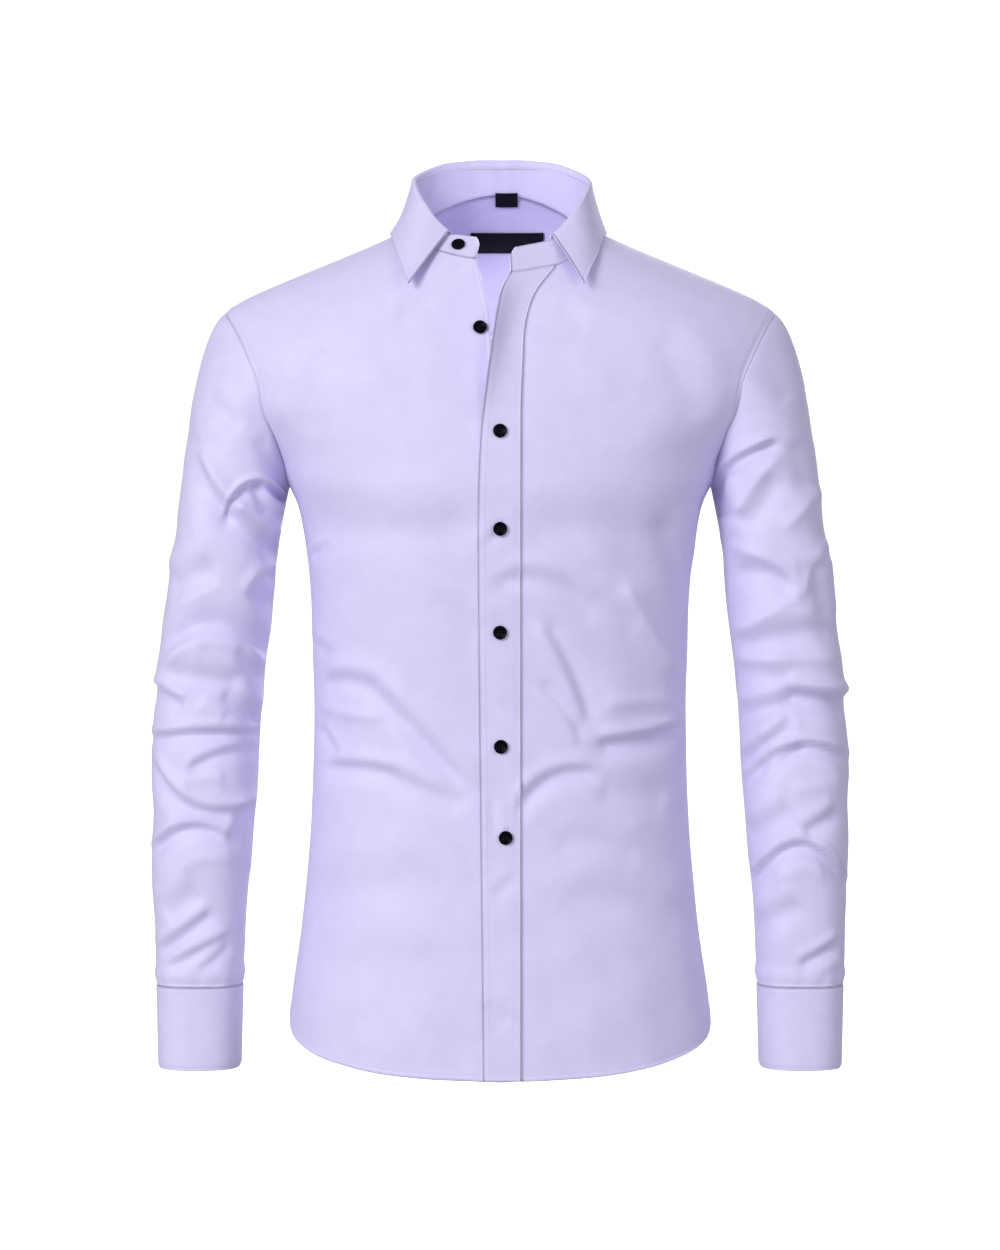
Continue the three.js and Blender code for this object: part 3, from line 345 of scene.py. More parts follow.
# Creases: a line in the front view with its bow, depth and spread. A negative
# depth is a ridge. lap sharpens the upper side of a trough, or the lower one
# where it is negative.
CREASE = "x1 z1 x2 z2 bow depth spread lap"
LAP_SHARP = 0.72
RIDGE_TIP = 0.04
FRONT_CREASES = table(
    CREASE,
    (-162, -244, -15, -247, -4, 3.0, 17, 0),
    (16, -247, 154, -244, -4, 2.6, 17, 0),
    (-155, -270, -144, -259, 0, 2.6, 4.5, 0.2),
    (-146, -375, -99, -381, 5, 4.2, 8, 0.1),
    (-107, -377, -24, -465, 1.5, 4.6, 8.5, 0.15),
    (-150, -392, -94, -401, -3, -2.8, 5, 0),
    (-150, -410, -135, -433, 0, 2.6, 4.5, 0.3),
    (-144, -445, -83, -450, 3, 4.4, 8.5, 0.5),
    (-91, -450, -28, -473, -1, 3.4, 9, 0.2),
    (-7, -294, 76, -314, 14, 2.8, 9, 0.2),
    (69, -309, 114, -327, 2, 1.8, 12, 0),
    (38, -320, 76, -405, 3, 4.4, 8, -0.3),
    (33, -373, 68, -418, 3, 3.4, 6, -0.4),
    (79, -424, 151, -412, -2, 6.6, 10, 0.7),
    (84, -391, 143, -389, 1, -3.4, 9, 0),
    (100, -291, 149, -366, -3, -4.6, 9, 0),
    (130, -238, 153, -291, 2, 3.4, 9, 0),
    (139, -274, 152, -287, 0, 2.0, 4, 0),
    (15, -478, 81, -448, 13, 4.8, 8, 0.35),
    (81, -460, 138, -468, 0, 2.4, 14, 0),
    (-13, -264, -1, -251, 0, 1.4, 5, 0),
    (-7, -469, -4, -499, 0, 1.4, 4, 0),
    (-5, -547, 13, -531, 0, 1.3, 6, 0.2),
    (-10, -633, 6, -650, 0, 1.3, 7, 0.2),
    (49, -549, 154, -573, 4, 2.4, 16, 0),
    (-162, -553, -49, -537, 5, 2.2, 18, 0),
    (-138, -614, -41, -598, 4, 1.4, 16, 0),
    (45, -504, 114, -517, 5, 2.0, 12, 0),
    (-57, -306, -16, -338, 3, 1.4, 10, 0),
    (-162, -338, -138, -350, 0, 2.0, 6, 0.2),
    (130, -87, 162, -160, 4, 2.0, 14, 0),
    (-138, -87, -162, -168, -4, 1.8, 14, 0),
    (-83, -77, -57, -62, 2, 1.6, 9, 0),
    (69, -87, 49, -62, 0, 1.4, 9, 0),
)
BACK_CREASES = table(
    CREASE,
    (-150, -365, -30, -420, 14, 2.8, 12, 0.3),
    (150, -372, 26, -428, -14, 2.8, 12, 0.3),
    (-60, -455, 70, -447, -10, 2.2, 11, 0.2),
    (-128, -190, -60, -300, -8, 2.2, 14, 0),
    (128, -190, 64, -296, 8, 2.2, 14, 0),
    (-148, -410, -80, -448, 6, 1.8, 8, 0.4),
    (146, -402, 92, -436, -5, 1.8, 8, 0.4),
    (-40, -330, 46, -338, 9, 1.6, 12, 0),
    (-110, -520, -30, -548, 7, 1.6, 11, 0),
    (118, -512, 40, -552, -6, 1.6, 11, 0),
    (-88, -250, -20, -268, 4, -1.4, 12, 0),
    (88, -246, 24, -270, -4, -1.4, 12, 0),
)
RIGHT_SLEEVE_CREASES = table(
    CREASE,
    (-197, -168, -172, -223, 0, 5.0, 9, 0.5),
    (-227, -235, -172, -225, 20, 5.2, 6.5, 0.75),
    (-202, -209, -192, -236, 0, 5.0, 5, 0.2),
    (-256, -185, -218, -242, -3, 5.6, 12, 0.7),
    (-227, -233, -179, -266, -2, 6.0, 12, 0.6),
    (-275, -294, -235, -281, 0, 4.6, 12, 0),
    (-268, -310, -230, -292, 0, -2.6, 8, 0),
    (-205, -305, -184, -281, 3, 5.0, 8, 0.5),
    (-200, -310, -184, -304, 0, 2.6, 9, 0),
    (-281, -347, -192, -350, 23, 6.6, 13, -0.55),
    (-217, -345, -197, -371, 0, 3.0, 7, 0.2),
    (-277, -367, -212, -375, 0, 3.6, 9, 0.1),
    (-293, -378, -261, -393, 0, 5.4, 8, 0.5),
    (-227, -381, -192, -414, 0, 5.4, 9, 0.4),
    (-256, -351, -215, -357, 3, -2.2, 10, 0),
    (-293, -421, -194, -418, 4, 5.8, 8, 0.75),
    (-258, -448, -197, -429, 6, 4.2, 7, 0.5),
    (-248, -390, -228, -403, 0, -2.4, 9, 0),
    (-291, -439, -198, -476, -22, 5.4, 8, 0.5),
    (-265, -458, -227, -454, 5, -2.8, 10, 0),
    (-289, -514, -225, -500, 13, 6.0, 8, 0.75),
    (-222, -507, -198, -471, 0, 4.6, 8, 0.3),
    (-265, -527, -219, -519, 4, -2.8, 11, 0),
    (-282, -597, -235, -563, 0, 4.2, 7, 0.4),
    (-276, -610, -222, -583, 0, 3.4, 5.5, 0.4),
    (-248, -614, -221, -590, 0, 2.8, 5, 0.2),
    (-276, -566, -248, -545, 0, 3.0, 10, 0),
    (-244, -136, -215, -165, 0, 2.4, 9, 0),
    (-251, -173, -230, -156, 0, -2.0, 10, 0),
    (-223, -57, -197, -90, 0, 1.8, 12, 0),
)
LEFT_SLEEVE_CREASES = table(
    CREASE,
    (170, -213, 230, -176, 5, 5.6, 7, 0.7),
    (177, -204, 189, -238, 0, 4.6, 8, 0.2),
    (232, -183, 191, -252, 4, -4.0, 9, 0),
    (202, -246, 230, -204, 0, 4.2, 11, 0),
    (268, -211, 232, -249, 0, -4.0, 9, 0),
    (246, -173, 255, -216, 0, 3.0, 11, 0),
    (189, -260, 248, -294, 5, -4.2, 6, 0),
    (194, -282, 243, -295, 5, 4.6, 10, 0.2),
    (271, -254, 250, -300, 2, -3.8, 9, 0),
    (258, -272, 271, -320, 0, 4.8, 9, 0.2),
    (194, -333, 251, -297, -2, -4.2, 8, 0),
    (198, -347, 281, -330, 3, 5.0, 12, 0.2),
    (194, -354, 284, -353, 0, -3.6, 8, 0),
    (193, -363, 241, -370, 0, 2.8, 8, 0),
    (232, -384, 293, -391, 0, 8.4, 11, 0.6),
    (198, -400, 237, -390, 0, 4.2, 9, 0.3),
    (201, -441, 243, -405, 0, 4.8, 8, 0.4),
    (215, -419, 250, -406, 0, -2.8, 9, 0),
    (203, -456, 291, -438, 20, 6.2, 8, 0.75),
    (223, -448, 250, -425, 0, 3.0, 4.5, 0.2),
    (240, -464, 285, -457, 2, -2.8, 10, 0),
    (251, -499, 281, -480, 0, 4.0, 8, 0.3),
    (205, -502, 241, -477, 0, 3.4, 10, 0.2),
    (205, -544, 289, -540, 34, 6.4, 8, 0.75),
    (227, -539, 269, -532, 8, -3.0, 11, 0),
    (247, -608, 284, -587, 0, 4.0, 6, 0.4),
    (265, -618, 286, -611, 0, 2.8, 5, 0.2),
    (207, -582, 251, -558, 3, 3.4, 10, 0.2),
    (215, -107, 240, -140, 0, 2.4, 11, 0),
    (203, -57, 227, -94, 0, 1.8, 12, 0),
)
SLEEVE_BACK_CREASES = table(
    CREASE,
    (186, -262, 262, -300, 8, 3, 10, 0.3),
    (196, -244, 232, -272, 4, 2.2, 7, 0.4),
    (284, -352, 204, -392, -8, 3.4, 10, 0.3),
    (206, -338, 250, -356, 5, 2, 8, 0),
    (286, -430, 208, -446, -10, 3.4, 8, 0.6),
    (210, -470, 262, -488, 6, 2.2, 7, 0.4),
    (284, -505, 212, -528, -12, 3, 8, 0.6),
    (222, -566, 280, -556, 5, 2, 7, 0.3),
    (228, -598, 276, -606, 3, 1.5, 6, 0),
)

# Grid counts of the fine panels
DENSE = 7
SIDE_ROWS = 20
ARMHOLE_ROWS = 12
YOKE_ROWS = 4
NECK_ROWS = 6
SHOULDER_COLUMNS = 9
BACK_NECK_COLUMNS = 10
PLACKET_COLUMNS = 2
CAP_ROWS = 8
ARM_ROWS = 16


class Curve:
    """Smooth curve through a table's column."""

    def __init__(self, at: Array, values: Array) -> None:
        """Sort the places and find a slope at each.

        Args:
            at: Places along the curve, in any order.
            values: Value at each place.
        """
        order = np.argsort(at)
        self.at = np.asarray(at, float)[order]
        self.values = np.asarray(values, float)[order]
        low = np.maximum(np.arange(len(order)) - 1, 0)
        high = np.minimum(np.arange(len(order)) + 1, len(order) - 1)
        self.slopes = (self.values[high] - self.values[low]) / (self.at[high] - self.at[low])

    def __call__(self, place: float | Array) -> Array:
        """Value at one place or several, held at both ends.

        Args:
            place: One place or an array of them.

        Returns:
            Value at each place.
        """
        where = np.clip(place, self.at[0], self.at[-1])
        i = np.clip(np.searchsorted(self.at, where) - 1, 0, len(self.at) - 2)
        span = self.at[i + 1] - self.at[i]
        t = (where - self.at[i]) / span
        rise = t * t * (3 - 2 * t)
        leave = t * (1 - t) * (1 - t) * span
        arrive = t * t * (t - 1) * span
        bend = self.slopes[i] * leave + self.slopes[i + 1] * arrive
        return self.values[i] * (1 - rise) + self.values[i + 1] * rise + bend


def smooth(share: float | Array) -> Array:
    """Soft step from 0 to 1."""
    t = np.clip(share, 0, 1)
    return t * t * (3 - 2 * t)


def unit(vectors: Array) -> Array:
    """Vectors at length one."""
    return vectors / np.maximum(np.linalg.norm(vectors, axis=-1, keepdims=True), 1e-9)


def lengths(points: Array, axis: int = 0) -> Array:
    """Length run from the first point of each line along an axis.

    Args:
        points: Points, with x, y and z last.
        axis: Axis that each line runs along.

    Returns:
        Length at each point, 0 at the first.
    """
    parts = np.linalg.norm(np.diff(points, axis=axis), axis=-1)
    run = np.cumsum(parts, axis=axis)
    return np.concatenate([np.zeros_like(np.take(run, [0], axis=axis)), run], axis=axis)


class BodyForm:
    """Level rings under rounded shoulders that the body panels lie on."""

    def __init__(self) -> None:
        """Take the curves from the tables."""
        self.half = Curve(BODY_RINGS["z"], BODY_RINGS["half"])
        self.depth = {side: Curve(BODY_RINGS["z"], BODY_RINGS[side.value]) for side in Side}
        neck = SHOULDER_TOP["x"] <= NECK_HALF
        self.outer_top = Curve(SHOULDER_TOP["x"], SHOULDER_TOP["front"])
        self.neck_top = Curve(SHOULDER_TOP["x"][neck], SHOULDER_TOP["back"][neck])

    @staticmethod
    def share(turn: Array, power: float = RING_POWER) -> tuple[Array, Array]:
        """Share of the half width and depth at a turn, 0 middle to 1 side.

        Args:
            turn: Turn on the ring, 0 in the middle and 1 at the side.
            power: Power of the ring; a higher one is squarer.

        Returns:
            Share of the half width and share of the depth.
        """
        across = np.sin(np.asarray(turn) * np.pi / 2)
        deep = np.cos(np.asarray(turn) * np.pi / 2)
        size = (np.abs(across) ** power + np.abs(deep) ** power) ** (1 / power)
        return across / size, deep / size

    def top(self, x: Array, side: Side) -> Array:
        """Height of the shoulder top at a distance from the middle.

        Args:
            x: Distance from the middle.
            side: Front or back half of the form.

        Returns:
            Height of the shoulder top.
        """
        if side is Side.FRONT:
            return self.outer_top(x)
        return np.where(x < NECK_HALF, self.neck_top(x), self.outer_top(x))

    def turn_at(self, x: Array, z: Array) -> Array:
        """Turn of the place at a width and height.

        Args:
            x: Distance from the middle, negative on the right.
            z: Height.

        Returns:
            Turn, -1 to 1.
        """
        share = np.clip(np.abs(x) / self.half(z), 0, 1)
        deep = (1 - share**RING_POWER) ** (1 / RING_POWER)
        return np.sign(x) * np.arctan2(share, deep) * 2 / np.pi

    def down(self, turn: Array, z: Array, side: Side) -> Array:
        """Length down the cloth from the shoulder top to a height.

        Args:
            turn: Turn on the ring, 0 in the middle and 1 at the side.
            z: Height.
            side: Front or back half of the form.

        Returns:
            Length down the cloth.
        """
        x = np.abs(self.half(z) * self.share(turn)[0])
        drop = self.top(x, side) - z
        bent = SHOULDER_ARC * np.arccos(np.clip(1 - drop / SHOULDER_ROUND, -1, 1)) * 2 / np.pi
        return np.where(drop >= SHOULDER_ROUND, SHOULDER_ARC + drop - SHOULDER_ROUND, bent)

    def place(self, x: Array, z: Array, side: Side) -> Array:
        """Flat place, turn and length down, at a width and height."""
        turn = self.turn_at(x, z)
        return np.stack([turn, self.down(turn, z, side)], axis=-1)

    def point(self, places: Array, side: Side) -> Array:
        """Points of the form at flat places.

        Args:
            places: Flat places: turn and length down.
            side: Front or back half of the form.

        Returns:
            Points as x, y and z.
        """
        turn, down = places[..., 0], places[..., 1]
        bend = np.clip(down / SHOULDER_ARC, 0, 1) * np.pi / 2
        drop = SHOULDER_ROUND * (1 - np.cos(bend)) + np.maximum(0, down - SHOULDER_ARC)
        across, deep = self.share(turn)
        z = -drop
        for _ in range(12):
            z = self.top(np.abs(self.half(z) * across), side) - drop
        depth = self.depth[side](z) * deep * np.sin(bend)
        y = SIDE_Y + (depth if side is Side.BACK else -depth)
        return np.stack([self.half(z) * across, y, z], axis=-1)

    def at(self, x: Array, z: Array, side: Side) -> Array:
        """Points of the form at widths and heights."""
        return self.point(self.place(np.asarray(x, float), np.asarray(z, float), side), side)

    def evenly(self, places: Array, side: Side, count: int) -> Array:
        """Split a dense line of flat places into even steps along the cloth.

        Args:
            places: Flat places: turn and length down.
            side: Front or back half of the form.
            count: Number of steps.

        Returns:
            Flat places, one more than the steps.
        """
        run = lengths(self.point(places, side))
        targets = np.linspace(0, run[-1], count + 1)
        return np.stack([np.interp(targets, run, places[:, k]) for k in range(2)], axis=-1)


class Pattern:
    """Outlines of the body panels as flat places on the form."""

    def __init__(self, form: BodyForm) -> None:
        """Keep the form and the armhole's curves.

        Args:
            form: Body form that the panels lie on.
        """
        self.form = form
        index = np.arange(len(ARMHOLE["z"]))
        self.last = float(index[-1])
        self.armhole_turn = Curve(index, ARMHOLE["turn"])
        self.armhole_z = Curve(index, ARMHOLE["z"])
        search = np.linspace(0, self.last, 901)
        self.split = search[np.argmax(self.armhole_z(search) >= YOKE_SEAM_SIDE)]

    def armhole(self, hand: Hand, side: Side, start: float, stop: float, count: int) -> Array:
        """Armhole from one table index to another.

        Args:
            hand: Side of the wearer.
            side: Front or back half of the form.
            start: Table index to start at.
            stop: Table index to stop at.
            count: Number of steps.

        Returns:
            Flat places along the armhole.
        """
        i = np.linspace(start, stop, 400)
        turn = self.armhole_turn(i)
        down = self.form.down(turn, self.armhole_z(i), side)
        if stop == self.last:
            down[-1] = 0
        return self.form.evenly(np.stack([hand.value * turn, down], axis=-1), side, count)

    def side_seam(self, hand: Hand, side: Side) -> Array:
        """Side seam from hem to armpit.

        Args:
            hand: Side of the wearer.
            side: Front or back half of the form.

        Returns:
            Flat places from the hem up.
        """
        low = self.form.down(np.array(1.0), HEM[side.value][-1], side)
        high = self.form.down(np.array(1.0), ARMHOLE["z"][0], side)
        down = np.linspace(low, high, SIDE_ROWS * DENSE + 1)
        return np.stack([np.full_like(down, hand.value), down], axis=-1)

    def hem(self, turns: Array, side: Side) -> Array:
        """Hem line at given turns."""
        z = Curve(HEM["turn"], HEM[side.value])(np.abs(turns))
        return np.stack([turns, self.form.down(turns, z, side)], axis=-1)

    def shoulder(self, hand: Hand, side: Side) -> Array:
        """Shoulder seam from armhole to neck.

        Args:
            hand: Side of the wearer.
            side: Front or back half of the form.

        Returns:
            Flat places from the armhole in.
        """
        start = hand.value * self.armhole_turn(self.last)
        stop = self.form.turn_at(hand.value * NECK_HALF, NECK_SIDE_Z)
        turn = np.linspace(start, stop, 200)
        line = np.stack([turn, np.zeros_like(turn)], axis=-1)
        return self.form.evenly(line, side, SHOULDER_COLUMNS * DENSE)

    def neck(self, degrees: float) -> tuple[Array, Side]:
        """Neck seam by turn from the middle of the back.

        Args:
            degrees: Turn in degrees, negative on the right.

        Returns:
            Flat place, and the half of the form that it is on.
        """
        angle = math.radians(abs(degrees))
        hand = Hand.RIGHT if degrees < 0 else Hand.LEFT
        x = hand.value * NECK_HALF * math.sin(angle)
        if math.cos(angle) >= 0:
            z = NECK_SIDE_Z + NECK_RISE * math.cos(angle) ** 2
            return self.form.place(np.array(x), np.array(z), Side.BACK), Side.BACK
        down = -math.cos(angle)
        z = NECK_SIDE_Z - NECK_DROP[hand] * (down + down * down) / 2
        return self.form.place(np.array(x), np.array(z), Side.FRONT), Side.FRONT

    def neck_point(self, degrees: float) -> Array:
        """Point of the neck seam by turn."""
        place, side = self.neck(degrees)
        return self.form.point(place, side)

    def front_neck(self, hand: Hand, stop: float, count: int) -> Array:
        """Front half of the neck seam from the neck point.

        Args:
            hand: Side of the wearer.
            stop: Turn in degrees to stop at.
            count: Number of steps.

        Returns:
            Flat places from the neck point forward.
        """
        line = np.array([self.neck(d)[0] for d in np.linspace(hand.value * 90, stop, 200)])
        line[0] = self.form.turn_at(hand.value * NECK_HALF, NECK_SIDE_Z), 0
        return self.form.evenly(line, Side.FRONT, count)

    def back_neck(self) -> Array:
        """Back half of the neck seam.

        Returns:
            Flat places from the right neck point to the left one.
        """
        line = np.array([self.neck(d)[0] for d in np.linspace(-90, 90, 361)])
        line[0] = self.form.turn_at(-NECK_HALF, NECK_SIDE_Z), 0
        line[-1] = self.form.turn_at(NECK_HALF, NECK_SIDE_Z), 0
        return self.form.evenly(line, Side.BACK, BACK_NECK_COLUMNS * DENSE)

    def yoke_seam(self) -> Array:
        """Seam between yoke and back.

        Returns:
            Flat places from the right armhole to the left one.
        """
        t = np.linspace(-1, 1, (2 * SHOULDER_COLUMNS + BACK_NECK_COLUMNS) * DENSE + 1)
        turn = self.armhole_turn(self.split) * t
        z = YOKE_SEAM_MIDDLE + (YOKE_SEAM_SIDE - YOKE_SEAM_MIDDLE) * t * t
        return np.stack([turn, self.form.down(turn, z, Side.BACK)], axis=-1)

    @staticmethod
    def fill(bottom: Array, top: Array, start: Array, end: Array) -> Array:
        """Flat places inside four outlines.

        Args:
            bottom: Outline below.
            top: Outline above.
            start: Outline at the start, from the bottom up.
            end: Outline at the end, from the bottom up.

        Returns:
            Grid of flat places.
        """
        u = np.linspace(0, 1, len(bottom))[None, :, None]
        v = np.linspace(0, 1, len(start))[:, None, None]
        across = (1 - v) * bottom[None] + v * top[None]
        along = (1 - u) * start[:, None] + u * end[:, None]
        low = (1 - u) * bottom[0] + u * bottom[-1]
        high = (1 - u) * top[0] + u * top[-1]
        return across + along - (1 - v) * low - v * high

    def front(self, hand: Hand) -> Array:
        """Points of one front, up to its free edge or placket line.

        Args:
            hand: Side of the wearer.

        Returns:
            Grid of points.
        """
        edge = RIGHT_EDGE if hand is Hand.RIGHT else PLACKET_LINE
        edge_x = Curve(edge["z"], edge["x"])
        rows = (SIDE_ROWS + ARMHOLE_ROWS) * DENSE
        neck_rows = NECK_ROWS * DENSE
        stop = hand.value * (180 - math.degrees(math.asin(abs(edge["x"][-1]) / NECK_HALF)))
        neck = self.front_neck(hand, stop, neck_rows)[::-1]
        z = np.linspace(edge["z"][0], edge["z"][-1], rows - neck_rows + 1)
        middle = self.form.place(edge_x(z), z, Side.FRONT)
        turns = np.linspace(hand.value, middle[0][0], SHOULDER_COLUMNS * DENSE + 1)
        bottom = self.hem(turns, Side.FRONT)
        middle[0] = bottom[-1]
        end = np.concatenate([middle[:-1], neck])
        armhole = self.armhole(hand, Side.FRONT, 0, self.last, ARMHOLE_ROWS * DENSE)
        start = np.concatenate([self.side_seam(hand, Side.FRONT), armhole[1:]])
        places = self.fill(bottom, self.shoulder(hand, Side.FRONT), start, end)
        return self.form.point(places, Side.FRONT)

    def back(self) -> Array:
        """Points of the back below the yoke seam.

        Returns:
            Grid of points.
        """
        rows = (ARMHOLE_ROWS - YOKE_ROWS) * DENSE
        flanks = []
        for hand in (Hand.RIGHT, Hand.LEFT):
            armhole = self.armhole(hand, Side.BACK, 0, self.split, rows)
            flanks.append(np.concatenate([self.side_seam(hand, Side.BACK), armhole[1:]]))
        top = self.yoke_seam()
        bottom = self.hem(np.linspace(-1, 1, len(top)), Side.BACK)
        return self.form.point(self.fill(bottom, top, *flanks), Side.BACK)

    def yoke(self) -> Array:
        """Points of the yoke.

        Returns:
            Grid of points.
        """
        flanks = [
            self.armhole(hand, Side.BACK, self.split, self.last, YOKE_ROWS * DENSE)
            for hand in (Hand.RIGHT, Hand.LEFT)
        ]
        right = self.shoulder(Hand.RIGHT, Side.BACK)
        left = self.shoulder(Hand.LEFT, Side.BACK)[::-1]
        top = np.concatenate([right, self.back_neck()[1:], left[1:]])
        return self.form.point(self.fill(self.yoke_seam(), top, *flanks), Side.BACK)

    def placket(self, panel: Array) -> Array:
        """Points of the band between the placket line and the free edge.

        Args:
            panel: Points of the left front.

        Returns:
            Grid of points.
        """
        edge_x = Curve(LEFT_EDGE["z"], LEFT_EDGE["x"])
        lift = Curve(LEFT_EDGE["z"], LEFT_EDGE["lift"])
        line = panel[: len(panel) - NECK_ROWS * DENSE, -1]
        top_drop = LEFT_EDGE["z"][-1] - PLACKET_LINE["z"][-1]
        row = np.arange(len(line)) / DENSE
        share = np.clip((row - row[-1] + 5) / 5, 0, 1)[:, None]
        t = np.linspace(0, 1, PLACKET_COLUMNS * DENSE + 1)[None, :]
        line_x, line_z = line[:, 0, None], line[:, 2, None]
        edge_z = line_z + top_drop * share
        z = line_z * (1 - t) + edge_z * t
        x = line_x * (1 - t) + edge_x(edge_z) * t
        grid = self.form.at(x, z, Side.FRONT)
        grid[..., 1] -= lift(z) * t * t
        grid[:, 0] = line
        return grid


def crease_push(creases: dict[str, Array], x: Array, z: Array) -> Array:
    """How far the creases move the cloth out at places in the front view.

    Args:
        creases: Table of creases.
        x: Distances across the front view.
        z: Heights.

    Returns:
        Push outward at each place.
    """
    push = np.zeros_like(x)
    for x1, z1, x2, z2, bow, depth, spread, lap in zip(*(creases[name] for name in CREASE.split())):
        run_x, run_z = x2 - x1, z2 - z1
        length = math.hypot(run_x, run_z)
        t = ((x - x1) * run_x + (z - z1) * run_z) / length**2
        hand = -1 if run_x < 0 else 1
        away = hand * ((z - z1) * run_x - (x - x1) * run_z) / length - bow * 4 * t * (1 - t)
        upper = spread * (1 - LAP_SHARP * max(0.0, lap))
        lower = spread * (1 - LAP_SHARP * max(0.0, -lap))
        width = np.where(away > 0, upper, lower)
        crest_at = 1.7 * upper if lap >= 0 else -1.7 * lower
        crest_width = upper if lap >= 0 else lower
        ends = np.exp(-(np.maximum(0, np.abs(t - 0.5) * 2 - 0.7) ** 2) / 0.06)
        if depth < 0:
            pointed = np.sqrt((away / spread) ** 2 + RIDGE_TIP) - math.sqrt(RIDGE_TIP)
            push -= depth * ends * np.exp(-1.5 * pointed)
            continue
        trough = np.exp(-((away / width) ** 2))
        crest = np.exp(-(((away - crest_at) / crest_width) ** 2))
        push += depth * ends * ((0.5 + 0.25 * abs(lap)) * crest - trough)
    return push


def ripple(x: Array, z: Array, seed: int, size: float = 0.22) -> Array:
    """Slight unevenness of hanging cloth.

    Args:
        x: Distances across.
        z: Heights.
        seed: Seed of the random draws.
        size: Height of each wave.

    Returns:
        Push outward at each place.
    """
    dice = np.random.default_rng(seed)
    push = np.zeros_like(x)
    for _ in range(9):
        angle = dice.uniform(0, np.pi)
        wave = 2 * np.pi / dice.uniform(34, 110)
        phase = dice.uniform(0, 2 * np.pi)
        push += np.sin(wave * (x * np.cos(angle) + z * np.sin(angle)) + phase)
    return push * size


@dataclass
class Panel:
    """Fine grid of one cut piece, its rows running from bottom to top."""

    grid: Array
    inside: tuple[float, float]
    around: bool = False
    normals: Array = field(init=False)
    flipped: bool = field(init=False)

    def __post_init__(self) -> None:
        """Find the normals."""
        self.settle()

    def settle(self) -> None:
        """Find the normals again after the grid has moved."""
        if self.around:
            across = np.roll(self.grid, -1, axis=1) - np.roll(self.grid, 1, axis=1)
        else:
            across = np.gradient(self.grid, axis=1)
        normals = unit(np.cross(across, np.gradient(self.grid, axis=0)))
        j, i = normals.shape[0] // 2, normals.shape[1] // 2
        away = self.grid[j, i, :2] - np.array(self.inside)
        self.flipped = bool(normals[j, i, :2] @ away < 0)
        self.normals = -normals if self.flipped else normals

    def raise_by(self, amount: Array) -> None:
        """Move the cloth out by an amount for each point."""
        self.grid = self.grid + self.normals * np.asarray(amount)[..., None]
        self.settle()

    def distance(self, edge: Edge) -> Array:
        """Distance of each point from an edge, along the grid.

        Args:
            edge: Edge to measure from.

        Returns:
            Distance of each point of the grid.
        """
        axis = 0 if edge in (Edge.BOTTOM, Edge.TOP) else 1
        grid = self.grid
        if edge in (Edge.TOP, Edge.END):
            return np.flip(lengths(np.flip(grid, axis), axis), axis)
        return lengths(grid, axis)

    def band(self, edge: Edge, width: float, height: float, soft: float = 1.2) -> Array:
        """Flat raised band of a height along an edge."""
        return height * smooth(1 - (self.distance(edge) - width) / soft)

    def line(self, edge: Edge, inset: float, lift: float = 0.0) -> tuple[Array, Array]:
        """Points and normals on the cloth at a distance from an edge.

        Args:
            edge: Edge to follow.
            inset: Distance in from the edge.
            lift: Height over the cloth.

        Returns:
            Points and normals along the line.
        """
        axis = 0 if edge in (Edge.BOTTOM, Edge.TOP) else 1
        grid, normals = self.grid, self.normals
        if edge in (Edge.TOP, Edge.END):
            grid, normals = np.flip(grid, axis), np.flip(normals, axis)
        if axis == 0:
            grid, normals = grid.swapaxes(0, 1), normals.swapaxes(0, 1)
        points, outs = [], []
        for row, out, run in zip(grid, normals, lengths(grid, 1)):
            points.append([np.interp(inset, run, row[:, k]) for k in range(3)])
            outs.append([np.interp(inset, run, out[:, k]) for k in range(3)])
        outward = unit(np.array(outs))
        return np.array(points) + outward * lift, outward

    def offset(self, distance: float | Array) -> Array:
        """Grid moved out by a distance."""
        return self.grid + self.normals * np.asarray(distance)[..., None]

    def area(self) -> float:
        """Area of the cloth in square metres.

        Returns:
            Area in square metres.
        """
        wide = np.linalg.norm(np.diff(self.grid, axis=1), axis=-1)
        tall = np.linalg.norm(np.diff(self.grid, axis=0), axis=-1)
        rows = (wide[1:] + wide[:-1]) / 2
        columns = (tall[:, 1:] + tall[:, :-1]) / 2
        return float((rows * columns).sum()) * MM * MM


def rim_loops(rows: int, columns: int, around: bool) -> list[Array]:
    """Grid places round the rim, as loops of (row, column).

    Args:
        rows: Rows of the grid.
        columns: Columns of the grid.
        around: Whether the grid closes on itself.

    Returns:
        Loops of grid places.
    """
    if around:
        span = np.arange(columns)
        return [
            np.stack([np.zeros_like(span), span[::-1]], axis=-1),
            np.stack([np.full_like(span, rows - 1), span], axis=-1),
        ]
    low = [(0, i) for i in range(columns - 1, 0, -1)]
    left = [(j, 0) for j in range(rows - 1)]
    high = [(rows - 1, i) for i in range(columns - 1)]
    right = [(j, columns - 1) for j in range(rows - 1, 0, -1)]
    return [np.array(low + left + high + right)]


